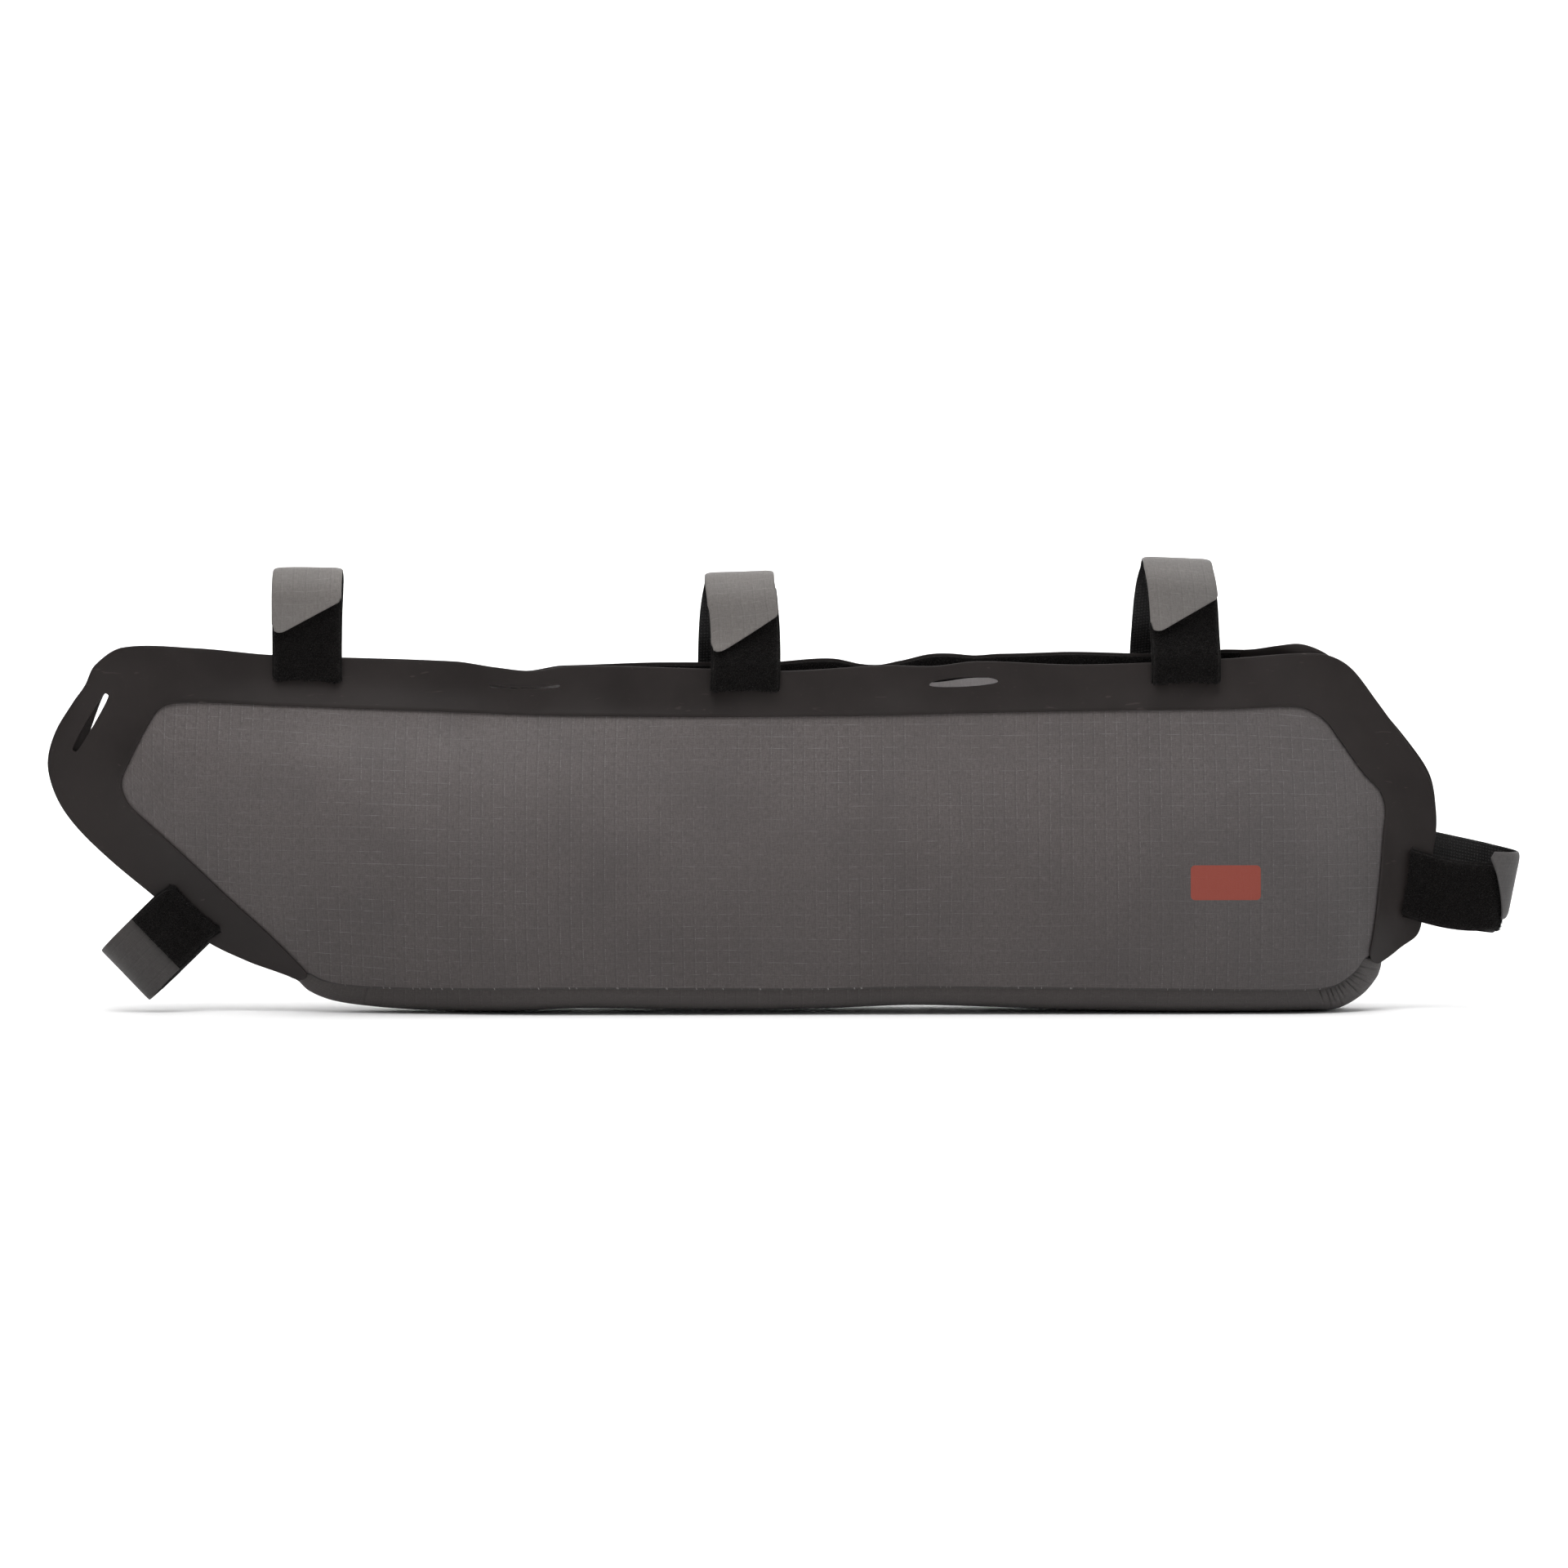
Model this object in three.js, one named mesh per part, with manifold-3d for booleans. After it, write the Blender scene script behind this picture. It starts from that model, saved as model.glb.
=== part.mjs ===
// A soft half-frame bag for a bicycle, strapped under the top tube. Lengths are millimetres.
// X runs along the bag, Y across it with the front at -Y, and Z is up.
// Two coated ripstop panels and a bottom gusset make the sack. A black rubbery band is welded over the
// panels' edges: it pinches the ends into fins, and along the top it carries the mouth. Five hook-and-loop
// straps pass through slots in the bands and stand open as loops for the bicycle's tubes.
import * as THREE from "three";
import { mergeVertices } from "three/addons/utils/BufferGeometryUtils.js";
import Module from "manifold-3d";

const wasm = await Module();
wasm.setup();

// Driving dimensions
const bagLength = 500;
const bagHeight = 131;
const bagDepth = 56;

const bandWall = 1.2;
const panelWall = 1.0;
const gussetWall = 1.0;
const tapeWall = 1.0;
const layerGap = 0.55;
const halfPinchGap = 0.3;
const halfMouthGap = 0.8;

const weldMargin = 5;
const seamMargin = 6;
const finWidth = 7;
const tapeWidth = 3.2;
const tapeInset = 0.4;
const panelInset = 1.5;

const strapWidth = 25;
const strapWall = 1.0;
const pileWall = 1.2;
const strapClearance = 0.5;
const slotClearance = 0.9;
const slotHeight = 3.6;
const bendRadius = 2.2;
const tabCorner = 4;

// Layers, measured inwards from the outer skin
const panelDepth = bandWall + layerGap;
const gussetDepth = panelDepth + panelWall + layerGap;
const tapeDepth = gussetDepth;
const slotLength = strapWidth + 2 * slotClearance;
const finHalf = bandWall + halfPinchGap;
const mouthHalf = tapeDepth + tapeWall + halfMouthGap;

// The black band, one row for each rib across it, clockwise from the lower left tip. Inner is the weld line
// on the panel and outer the free edge; along is a share of bagLength and up a share of bagHeight.
const bandRibs = [
  { innerAlong: 0.188, innerUp: 0.1, outerAlong: 0.181, outerUp: 0.084 },
  { innerAlong: 0.184, innerUp: 0.119, outerAlong: 0.172, outerUp: 0.1 },
  { innerAlong: 0.16, innerUp: 0.213, outerAlong: 0.142, outerUp: 0.141 },
  { innerAlong: 0.13, innerUp: 0.318, outerAlong: 0.11, outerUp: 0.203 },
  { innerAlong: 0.101, innerUp: 0.423, outerAlong: 0.078, outerUp: 0.311 },
  { innerAlong: 0.078, innerUp: 0.503, outerAlong: 0.045, outerUp: 0.416 },
  { innerAlong: 0.061, innerUp: 0.562, outerAlong: 0.02, outerUp: 0.51 },
  { innerAlong: 0.055, innerUp: 0.602, outerAlong: 0.006, outerUp: 0.591 },
  { innerAlong: 0.054, innerUp: 0.635, outerAlong: 0, outerUp: 0.68 },
  { innerAlong: 0.058, innerUp: 0.673, outerAlong: 0.005, outerUp: 0.763 },
  { innerAlong: 0.069, innerUp: 0.758, outerAlong: 0.018, outerUp: 0.848 },
  { innerAlong: 0.078, innerUp: 0.817, outerAlong: 0.027, outerUp: 0.897 },
  { innerAlong: 0.085, innerUp: 0.839, outerAlong: 0.034, outerUp: 0.951 },
  { innerAlong: 0.098, innerUp: 0.848, outerAlong: 0.054, outerUp: 1 },
  { innerAlong: 0.124, innerUp: 0.848, outerAlong: 0.107, outerUp: 0.998 },
  { innerAlong: 0.166, innerUp: 0.841, outerAlong: 0.16, outerUp: 0.98 },
  { innerAlong: 0.295, innerUp: 0.823, outerAlong: 0.292, outerUp: 0.962 },
  { innerAlong: 0.321, innerUp: 0.819, outerAlong: 0.321, outerUp: 0.946 },
  { innerAlong: 0.348, innerUp: 0.815, outerAlong: 0.348, outerUp: 0.936 },
  { innerAlong: 0.377, innerUp: 0.813, outerAlong: 0.377, outerUp: 0.95 },
  { innerAlong: 0.47, innerUp: 0.81, outerAlong: 0.47, outerUp: 0.942 },
  { innerAlong: 0.53, innerUp: 0.811, outerAlong: 0.53, outerUp: 0.936 },
  { innerAlong: 0.601, innerUp: 0.814, outerAlong: 0.601, outerUp: 0.951 },
  { innerAlong: 0.635, innerUp: 0.818, outerAlong: 0.635, outerUp: 0.949 },
  { innerAlong: 0.666, innerUp: 0.821, outerAlong: 0.666, outerUp: 0.962 },
  { innerAlong: 0.74, innerUp: 0.826, outerAlong: 0.74, outerUp: 0.953 },
  { innerAlong: 0.845, innerUp: 0.831, outerAlong: 0.845, outerUp: 0.969 },
  { innerAlong: 0.888, innerUp: 0.837, outerAlong: 0.9, outerUp: 0.984 },
  { innerAlong: 0.903, innerUp: 0.832, outerAlong: 0.921, outerUp: 0.979 },
  { innerAlong: 0.917, innerUp: 0.803, outerAlong: 0.938, outerUp: 0.944 },
  { innerAlong: 0.927, innerUp: 0.754, outerAlong: 0.956, outerUp: 0.857 },
  { innerAlong: 0.946, innerUp: 0.653, outerAlong: 0.984, outerUp: 0.707 },
  { innerAlong: 0.958, innerUp: 0.606, outerAlong: 0.996, outerUp: 0.629 },
  { innerAlong: 0.962, innerUp: 0.557, outerAlong: 1, outerUp: 0.557 },
  { innerAlong: 0.96, innerUp: 0.483, outerAlong: 1, outerUp: 0.483 },
  { innerAlong: 0.957, innerUp: 0.367, outerAlong: 0.995, outerUp: 0.367 },
  { innerAlong: 0.953, innerUp: 0.244, outerAlong: 0.99, outerUp: 0.244 },
  { innerAlong: 0.951, innerUp: 0.199, outerAlong: 0.986, outerUp: 0.204 },
  { innerAlong: 0.949, innerUp: 0.159, outerAlong: 0.974, outerUp: 0.172 },
  { innerAlong: 0.952, innerUp: 0.134, outerAlong: 0.962, outerUp: 0.139 },
];
// The rows of bandRibs where the band turns from the lower edges to the mouth side, and back
const leftTurn = 8;
const rightTurn = 34;
// The rows between which the mouth's edge runs along the top, and its tapes
const mouthRows = { from: 14, to: 27 };
const tapeRows = { from: 14.6, to: 26.6 };

// The bottom gusset, one row for each section from the left tip to the right one. Seam is the weld to the
// panel and edge the outline that shows from the front.
const gussetSections = [
  { seamAlong: 0.187, seamUp: 0.108, edgeAlong: 0.178, edgeUp: 0.09 },
  { seamAlong: 0.196, seamUp: 0.089, edgeAlong: 0.187, edgeUp: 0.057 },
  { seamAlong: 0.21, seamUp: 0.076, edgeAlong: 0.204, edgeUp: 0.031 },
  { seamAlong: 0.236, seamUp: 0.07, edgeAlong: 0.233, edgeUp: 0.015 },
  { seamAlong: 0.271, seamUp: 0.068, edgeAlong: 0.271, edgeUp: 0.006 },
  { seamAlong: 0.33, seamUp: 0.07, edgeAlong: 0.33, edgeUp: 0.004 },
  { seamAlong: 0.383, seamUp: 0.072, edgeAlong: 0.383, edgeUp: 0.012 },
  { seamAlong: 0.471, seamUp: 0.07, edgeAlong: 0.471, edgeUp: 0.007 },
  { seamAlong: 0.553, seamUp: 0.069, edgeAlong: 0.553, edgeUp: 0.01 },
  { seamAlong: 0.624, seamUp: 0.074, edgeAlong: 0.624, edgeUp: 0.019 },
  { seamAlong: 0.73, seamUp: 0.07, edgeAlong: 0.73, edgeUp: 0.006 },
  { seamAlong: 0.824, seamUp: 0.066, edgeAlong: 0.824, edgeUp: 0 },
  { seamAlong: 0.9, seamUp: 0.063, edgeAlong: 0.906, edgeUp: 0.003 },
  { seamAlong: 0.922, seamUp: 0.065, edgeAlong: 0.928, edgeUp: 0.007 },
  { seamAlong: 0.934, seamUp: 0.083, edgeAlong: 0.946, edgeUp: 0.042 },
  { seamAlong: 0.942, seamUp: 0.108, edgeAlong: 0.957, edgeUp: 0.088 },
  { seamAlong: 0.945, seamUp: 0.127, edgeAlong: 0.96, edgeUp: 0.116 },
  { seamAlong: 0.947, seamUp: 0.144, edgeAlong: 0.961, edgeUp: 0.137 },
];
// The corner where the gusset is gathered, in rows of gussetSections
const gathers = { from: 12.6, to: 15.6, count: 6, depth: 0.07 };
const gussetRoundness = 3.2;

// The sides where the two faces are pinched together: each line runs through two points of the outline, and
// the sack swells to its full depth over ramp, a share of bagHeight.
const pinchLines = [
  { fromAlong: 0.11, fromUp: 0.195, toAlong: 0.02, toUp: 0.515, ramp: 0.58 },
  { fromAlong: 0.003, fromUp: 0.7, toAlong: 0.04, toUp: 0.98, ramp: 0.5 },
  { fromAlong: 0.938, fromUp: 0.944, toAlong: 0.996, toUp: 0.63, ramp: 0.42 },
  { fromAlong: 1, fromUp: 0.557, toAlong: 0.99, toUp: 0.22, ramp: 0.34 },
];
const openingRun = 26;
const mouthRamp = 0.56;
const mouthFlat = 0.07;
const tuckHeight = 0.3;
const tuckShare = 0.12;

// How far the mouth gapes, as a share of bagDepth on each side of the middle, beyond its closed thickness
const mouthGape = [
  { along: 0, gape: 0 },
  { along: 0.36, gape: 0 },
  { along: 0.46, gape: 0.08 },
  { along: 0.54, gape: 0.14 },
  { along: 0.68, gape: 0.16 },
  { along: 0.78, gape: 0.15 },
  { along: 0.88, gape: 0.08 },
  { along: 0.93, gape: 0.02 },
  { along: 1, gape: 0 },
];

// Soft waves in the free edges and faces: out is a share of bagDepth, spread a share of bagLength, and up
// and rise, where they are given, place a dent on the face as shares of bagHeight.
const frontWaves = [
  { along: 0.345, out: 0.04, spread: 0.03 },
  { along: 0.665, out: 0.03, spread: 0.03 },
  { along: 0.6, out: -0.03, spread: 0.022 },
];
const backWaves = [
  { along: 0.25, out: 0.03, spread: 0.03 },
  { along: 0.6, out: -0.035, spread: 0.028 },
  { along: 0.76, out: 0.04, spread: 0.04 },
];
const faceDents = [
  { along: 0.53, up: 0.62, out: -0.03, spread: 0.05, rise: 0.3 },
  { along: 0.3, up: 0.5, out: 0.025, spread: 0.09, rise: 0.25 },
  { along: 0.72, up: 0.4, out: 0.02, spread: 0.1, rise: 0.3 },
];
// The back face's mouth edge stands higher or lower than the front one here, as a share of bagHeight
const backEdgeLift = [
  { along: 0, lift: 0 },
  { along: 0.38, lift: 0 },
  { along: 0.45, lift: 0.012 },
  { along: 0.55, lift: 0.012 },
  { along: 0.595, lift: -0.018 },
  { along: 0.64, lift: 0.012 },
  { along: 0.68, lift: -0.006 },
  { along: 0.75, lift: 0.016 },
  { along: 0.82, lift: 0 },
  { along: 0.9, lift: 0.012 },
  { along: 1, lift: 0 },
];

// The back face has crept against the front one: slid along the bag near the mouth, as a share of
// bagLength, and lifted towards the right end, as a share of bagHeight.
const backSlide = [
  { along: 0, slide: 0 },
  { along: 0.19, slide: -0.002 },
  { along: 0.5, slide: -0.0095 },
  { along: 0.82, slide: -0.016 },
  { along: 0.9, slide: -0.017 },
  { along: 1, slide: 0 },
];
const backLift = [
  { up: 0, lift: 0 },
  { up: 0.14, lift: 0 },
  { up: 0.3, lift: 0.018 },
  { up: 1, lift: 0.02 },
];

// Slots in the bands: turn is the slot's own direction, in degrees above +X
const slots = {
  top_left: { along: 0.187, up: 0.911, turn: -2 },
  top_second: { along: 0.345, up: 0.895, turn: 0 },
  top_middle: { along: 0.502, up: 0.882, turn: 0 },
  top_fourth: { along: 0.66, up: 0.902, turn: 1 },
  top_right: { along: 0.819, up: 0.904, turn: 1 },
  left: { along: 0.031, up: 0.794, turn: 60 },
  lower_left: { along: 0.106, up: 0.291, turn: -43 },
  right: { along: 0.978, up: 0.338, turn: 82 },
};

// Straps: towards is the loop's direction in degrees above +X. The other columns are shares of strapWidth:
// reach is the loop's length from the slot and spread its half width. Lean is how far the loop's far end
// drifts sideways, skew the far leg's own drift and tabSkew the tab's. The tab's slanted end lies tabLong
// past the loop's tip at its long edge, which is column longEdge, and tabShort at the other. It lies on the
// front, or on the back if tabSide is 1.
const straps = [
  {
    name: "top_left", towards: 90, reach: 1.556, spread: 0.32, lean: 0, skew: 0, tabSkew: 0,
    tabSide: -1, longEdge: 0, tabLong: 1.29, tabShort: 0.87,
  },
  {
    name: "top_middle", towards: 90, reach: 1.588, spread: 0.4, lean: -0.096, skew: 0, tabSkew: 0,
    tabSide: -1, longEdge: 0, tabLong: 1.53, tabShort: 0.99,
  },
  {
    name: "top_right", towards: 90, reach: 1.688, spread: 0.4, lean: -0.152, skew: 0, tabSkew: 0,
    tabSide: -1, longEdge: 0, tabLong: 1.45, tabShort: 0.97,
  },
  {
    name: "lower_left", towards: 226, reach: 1.352, spread: 0.28, lean: 0, skew: -0.04, tabSkew: 0,
    tabSide: 1, longEdge: 0, tabLong: 1.2, tabShort: 0.84,
  },
  {
    name: "right", towards: -12, reach: 1.448, spread: 0.32, lean: 0, skew: 0.14, tabSkew: 0.12,
    tabSide: -1, longEdge: 1, tabLong: 0.63, tabShort: 0.24,
  },
].map((row) => {
  const lengths = ["reach", "spread", "lean", "skew", "tabSkew", "tabLong", "tabShort"];
  return { ...row, ...Object.fromEntries(lengths.map((column) => [column, row[column] * strapWidth])) };
});
const plainPileReach = 0.6;
const crossingRun = 5;
const strapEdgeReach = 0.2;

// Mesh densities
const bandStations = 62;
const bandSteps = [0, 0.35, 0.7, 1];
const panelEndSpacing = 7;
const panelSteps = [0, 0.08, 0.2, 0.37, 0.56, 0.72, 0.84, 0.93, 1];
const gussetStations = 38;
const gussetTurns = [0, 20, 42, 70, 110, 138, 160, 180];
const strapColumns = [0, 0.08, 1];
const tabSteps = 8;
const slotSegments = 3;
const legSteps = [0.14, 0.31, 0.52, 0.76, 1];
// Angles round the loop's bend: of the tab side's own end, which curls in under the tab, and of the outer
// bend, which has its full spread from fullSpreadAngle on.
const curlAngles = [24];
const arcAngles = [22, 45, 67, 90, 112, 135, 158];
const fullSpreadAngle = 90;

const cloth = (name, color, roughness) =>
  new THREE.MeshStandardMaterial({ name, color, roughness, metalness: 0 });
const materials = {
  ripstop: cloth("ripstop", 0x5c5857, 0.75),
  band: cloth("band", 0x2b2928, 0.62),
  strap: cloth("strap", 0x827f7c, 0.7),
  pile: cloth("pile", 0x0d0b0b, 0.95),
};

const clamp = (value, low = 0, high = 1) => Math.min(high, Math.max(low, value));
const mix = (a, b, t) => a + (b - a) * t;
const smooth = (t) => clamp(t) ** 2 * (3 - 2 * clamp(t));
const radians = THREE.MathUtils.degToRad;
const alongX = (share) => share * bagLength;
const upZ = (share) => share * bagHeight;

// The tangents of a smooth curve through values at uneven knots.
function tangentAt(values, knots, i) {
  const before = Math.max(i - 1, 0);
  const after = Math.min(i + 1, values.length - 1);
  return (values[after] - values[before]) / (knots[after] - knots[before]);
}

// A smooth value between rows: position counts along knots.
function between(values, knots, position) {
  const at = clamp(position, knots[0], knots[knots.length - 1]);
  let i = 0;
  while (i < knots.length - 2 && at > knots[i + 1]) i += 1;
  const span = knots[i + 1] - knots[i];
  const t = (at - knots[i]) / span;
  const startPull = tangentAt(values, knots, i) * span;
  const endPull = tangentAt(values, knots, i + 1) * span;
  return (
    (2 * t ** 3 - 3 * t ** 2 + 1) * values[i] +
    (t ** 3 - 2 * t ** 2 + t) * startPull +
    (3 * t ** 2 - 2 * t ** 3) * values[i + 1] +
    (t ** 3 - t ** 2) * endPull
  );
}

// Turns a table of paired outlines into a function of the distance along their middle line.
function pairedOutline(rows, first, second) {
  const columns = [first + "Along", first + "Up", second + "Along", second + "Up"];
  const scale = [bagLength, bagHeight, bagLength, bagHeight];
  const points = rows.map((row) => columns.map((column, i) => row[column] * scale[i]));
  const knots = [0];
  for (let i = 1; i < points.length; i += 1) {
    const step = points[i].map((value, k) => value - points[i - 1][k]);
    knots.push(knots[i - 1] + Math.hypot(step[0] + step[2], step[1] + step[3]) / 2);
  }
  const lists = columns.map((column, k) => points.map((point) => point[k]));
  const at = (distance) => {
    const [firstX, firstZ, secondX, secondZ] = lists.map((list) => between(list, knots, distance));
    return { first: { x: firstX, z: firstZ }, second: { x: secondX, z: secondZ } };
  };
  const rowDistance = (row) => {
    const before = Math.floor(row);
    return mix(knots[before], knots[Math.min(before + 1, rows.length - 1)], row - before);
  };
  return { at, length: knots[knots.length - 1], rowDistance };
}

const band = pairedOutline(bandRibs, "inner", "outer");
const gusset = pairedOutline(gussetSections, "seam", "edge");

// A column of a table, smoothly interpolated over another column that holds its places.
function tableAt(rows, place, column) {
  const knots = rows.map((row) => row[place]);
  const values = rows.map((row) => row[column]);
  return (share) => between(values, knots, share);
}

// The height of a line of points at a given x; past its ends it stays level.
function heightOn(line, x) {
  if (x <= line[0].x) return line[0].z;
  for (let i = 1; i < line.length; i += 1) {
    const run = line[i].x - line[i - 1].x || 1;
    if (x <= line[i].x) return mix(line[i - 1].z, line[i].z, (x - line[i - 1].x) / run);
  }
  return line[line.length - 1].z;
}

function sampleLine(pointAt, from, to, count) {
  return Array.from({ length: count + 1 }, (_, i) => pointAt(mix(from, to, i / count)));
}

const gapeAt = tableAt(mouthGape, "along", "gape");
const edgeLiftAt = tableAt(backEdgeLift, "along", "lift");
const backLiftAt = tableAt(backLift, "up", "lift");
const backSlideAt = tableAt(backSlide, "along", "slide");

// The mouth's free edge and weld line along the top, carried on level past the corners.
const mouthFrom = band.rowDistance(mouthRows.from);
const mouthTo = band.rowDistance(mouthRows.to);
const mouthSamples = 200;
const mouthLine = sampleLine(band.at, mouthFrom, mouthTo, mouthSamples);
const mouthEdge = mouthLine.map((pair) => pair.second);
const mouthWeld = mouthLine.map((pair) => pair.first);
const mouthEdgeAt = (x) => heightOn(mouthEdge, x);
const mouthWeldAt = (x) => heightOn(mouthWeld, x);

// The distance of a point inside a pinch line.
function insideLine(line, x, z) {
  const fromX = alongX(line.fromAlong);
  const fromZ = upZ(line.fromUp);
  const runX = alongX(line.toAlong) - fromX;
  const runZ = upZ(line.toUp) - fromZ;
  return (runZ * (x - fromX) - runX * (z - fromZ)) / Math.hypot(runX, runZ);
}

// The swelling from a pinched edge to the full depth: flat over the fin, then a quarter wave.
const softStart = 0.012;
function swelling(distance, flat, ramp) {
  const reached = (distance - flat) / ramp;
  const eased = (reached + Math.sqrt(reached ** 2 + softStart)) / 2;
  return Math.sin((clamp(eased) * Math.PI) / 2);
}

const bell = (offset) => Math.exp(-(offset ** 2));

// Half the bag's depth at a point of the front view, for the front face (side -1) or the back one (side 1).
function halfDepth(side, x, z) {
  const topEdge = mouthEdgeAt(x);
  let swell = 1;
  let opened = 1;
  for (const line of pinchLines) {
    const distance = insideLine(line, x, z);
    swell *= swelling(distance, finWidth, line.ramp * bagHeight);
    opened *= smooth((distance - finWidth) / openingRun);
  }
  const mouth = mouthHalf + gapeAt(x / bagLength) * bagDepth;
  const rising = swelling(topEdge - z, upZ(mouthFlat), upZ(mouthRamp));
  const tuck = 1 - tuckShare * (1 - clamp(z / upZ(tuckHeight))) ** 2;
  const belly = (bagDepth / 2) * tuck;
  let depth = finHalf + (mouth - finHalf) * opened + (belly - mouth) * rising * swell;
  const nearEdge = smooth(1 - (topEdge - z) / (topEdge - mouthWeldAt(x)));
  for (const wave of side < 0 ? frontWaves : backWaves) {
    depth += wave.out * bagDepth * bell((x - alongX(wave.along)) / alongX(wave.spread)) * nearEdge * opened;
  }
  for (const dent of faceDents) {
    const across = bell((x - alongX(dent.along)) / alongX(dent.spread));
    const upwards = bell((z - upZ(dent.up)) / upZ(dent.rise));
    depth += dent.out * bagDepth * across * upwards * (1 - nearEdge) * swell;
  }
  return depth;
}

// How much a layer's thickness grows, measured along Y, where the face slopes.
const slopeStep = 0.5;
function steepness(side, x, z) {
  const acrossX = (halfDepth(side, x + slopeStep, z) - halfDepth(side, x - slopeStep, z)) / (2 * slopeStep);
  const acrossZ = (halfDepth(side, x, z + slopeStep) - halfDepth(side, x, z - slopeStep)) / (2 * slopeStep);
  return Math.hypot(1, acrossX, acrossZ);
}

// The back face has slid a little along and up against the front one, more towards the right and the mouth.
function backShift(x, z) {
  const right = smooth((x / bagLength - 0.3) / 0.6);
  const high = smooth((z / bagHeight - 0.5) / 0.5);
  const lift = backLiftAt(z / bagHeight) * right + edgeLiftAt(x / bagLength) * high;
  return { x: alongX(backSlideAt(x / bagLength)) * high, z: upZ(lift) };
}

// The point of a face at (x, z) of the front view, depth millimetres inside the outer skin.
function skin(side, x, z, depth) {
  const y = side * (halfDepth(side, x, z) - depth * steepness(side, x, z));
  if (side < 0) return new THREE.Vector3(x, y, z);
  const shift = backShift(x, z);
  return new THREE.Vector3(x + shift.x, y, z + shift.z);
}

// A closed solid between two grids of points, outer and inner, of the same size.
function solidBetween(outer, inner) {
  const rows = outer.length;
  const columns = outer[0].length;
  const positions = [];
  for (const point of [outer, inner].flat(2)) positions.push(...point.toArray());
  const index = (layer, i, j) => (layer * rows + i) * columns + j;
  const faces = [];
  const quad = (a, b, c, d) => faces.push(a, b, c, a, c, d);
  for (let i = 0; i < rows - 1; i += 1) {
    for (let j = 0; j < columns - 1; j += 1) {
      quad(index(0, i, j), index(0, i + 1, j), index(0, i + 1, j + 1), index(0, i, j + 1));
      quad(index(1, i, j), index(1, i, j + 1), index(1, i + 1, j + 1), index(1, i + 1, j));
    }
    quad(index(0, i, 0), index(1, i, 0), index(1, i + 1, 0), index(0, i + 1, 0));
    const last = columns - 1;
    quad(index(0, i, last), index(0, i + 1, last), index(1, i + 1, last), index(1, i, last));
  }
  for (let j = 0; j < columns - 1; j += 1) {
    quad(index(0, 0, j), index(0, 0, j + 1), index(1, 0, j + 1), index(1, 0, j));
    quad(index(0, rows - 1, j), index(1, rows - 1, j), index(1, rows - 1, j + 1), index(0, rows - 1, j + 1));
  }
  const geometry = new THREE.BufferGeometry();
  geometry.setAttribute("position", new THREE.Float32BufferAttribute(positions, 3));
  geometry.setIndex(faces);
  return toManifold(geometry);
}

// A manifold-3d solid from a closed geometry, turned to face outwards.
function toManifold(geometry) {
  const bare = geometry.clone();
  bare.deleteAttribute("normal");
  bare.deleteAttribute("uv");
  const merged = mergeVertices(bare, 1e-4);
  const vertProperties = merged.attributes.position.array;
  const make = (triVerts) => new wasm.Manifold(new wasm.Mesh({ numProp: 3, vertProperties, triVerts }));
  const triVerts = new Uint32Array(merged.index.array);
  const solid = make(triVerts);
  return solid.volume() > 0 ? solid : make(triVerts.map((value, i, all) => all[i - (i % 3) + 2 - (i % 3)]));
}

function toMesh(name, solid, material) {
  const mesh = solid.getMesh();
  const positions = new Float32Array(mesh.numVert * 3);
  for (let i = 0; i < mesh.numVert; i += 1) {
    positions.set(mesh.vertProperties.subarray(i * mesh.numProp, i * mesh.numProp + 3), i * 3);
  }
  const geometry = new THREE.BufferGeometry();
  geometry.setAttribute("position", new THREE.BufferAttribute(positions, 3));
  geometry.setIndex(new THREE.BufferAttribute(mesh.triVerts, 1));
  geometry.computeVertexNormals();
  const made = new THREE.Mesh(geometry, material);
  made.name = name;
  return made;
}

// The place of a slot on one face.
function slotPlace(slot, side) {
  const x = alongX(slot.along);
  const z = upZ(slot.up);
  const shift = side < 0 ? { x: 0, z: 0 } : backShift(x, z);
  return { x: x + shift.x, z: z + shift.z };
}

// A round-ended prism across one half of the bag, which cuts a slot.
function slotCutter(slot, side) {
  const outline = new THREE.Shape();
  const halfRun = (slotLength - slotHeight) / 2;
  const radius = slotHeight / 2;
  outline.absarc(halfRun, 0, radius, -Math.PI / 2, Math.PI / 2, false);
  outline.absarc(-halfRun, 0, radius, Math.PI / 2, (3 * Math.PI) / 2, false);
  const settings = { depth: bagDepth, bevelEnabled: false, curveSegments: slotSegments };
  const prism = new THREE.ExtrudeGeometry(outline, settings);
  prism.translate(0, 0, side < 0 ? 0 : -bagDepth);
  prism.rotateX(Math.PI / 2);
  prism.rotateY(-radians(slot.turn));
  const place = slotPlace(slot, side);
  prism.translate(place.x, 0, place.z);
  return toManifold(prism);
}

function cutSlots(solid, side, names) {
  return names.reduce((cut, name) => cut.subtract(slotCutter(slots[name], side)), solid);
}

// The black band's stations crowd where its table's rows do, at the corners.
const crowding = 0.6;
const bandPairs = Array.from({ length: bandStations }, (_, i) => {
  const share = i / (bandStations - 1);
  const distance = mix(share * band.length, band.rowDistance(share * (bandRibs.length - 1)), crowding);
  return { distance, ...band.at(distance) };
});

// The black band of one face.
function bandSolid(side) {
  const grid = (depth) =>
    bandPairs.map(({ first, second }) =>
      bandSteps.map((t) => skin(side, mix(first.x, second.x, t), mix(first.z, second.z, t), depth)),
    );
  return cutSlots(solidBetween(grid(0), grid(bandWall)), side, Object.keys(slots));
}

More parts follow.
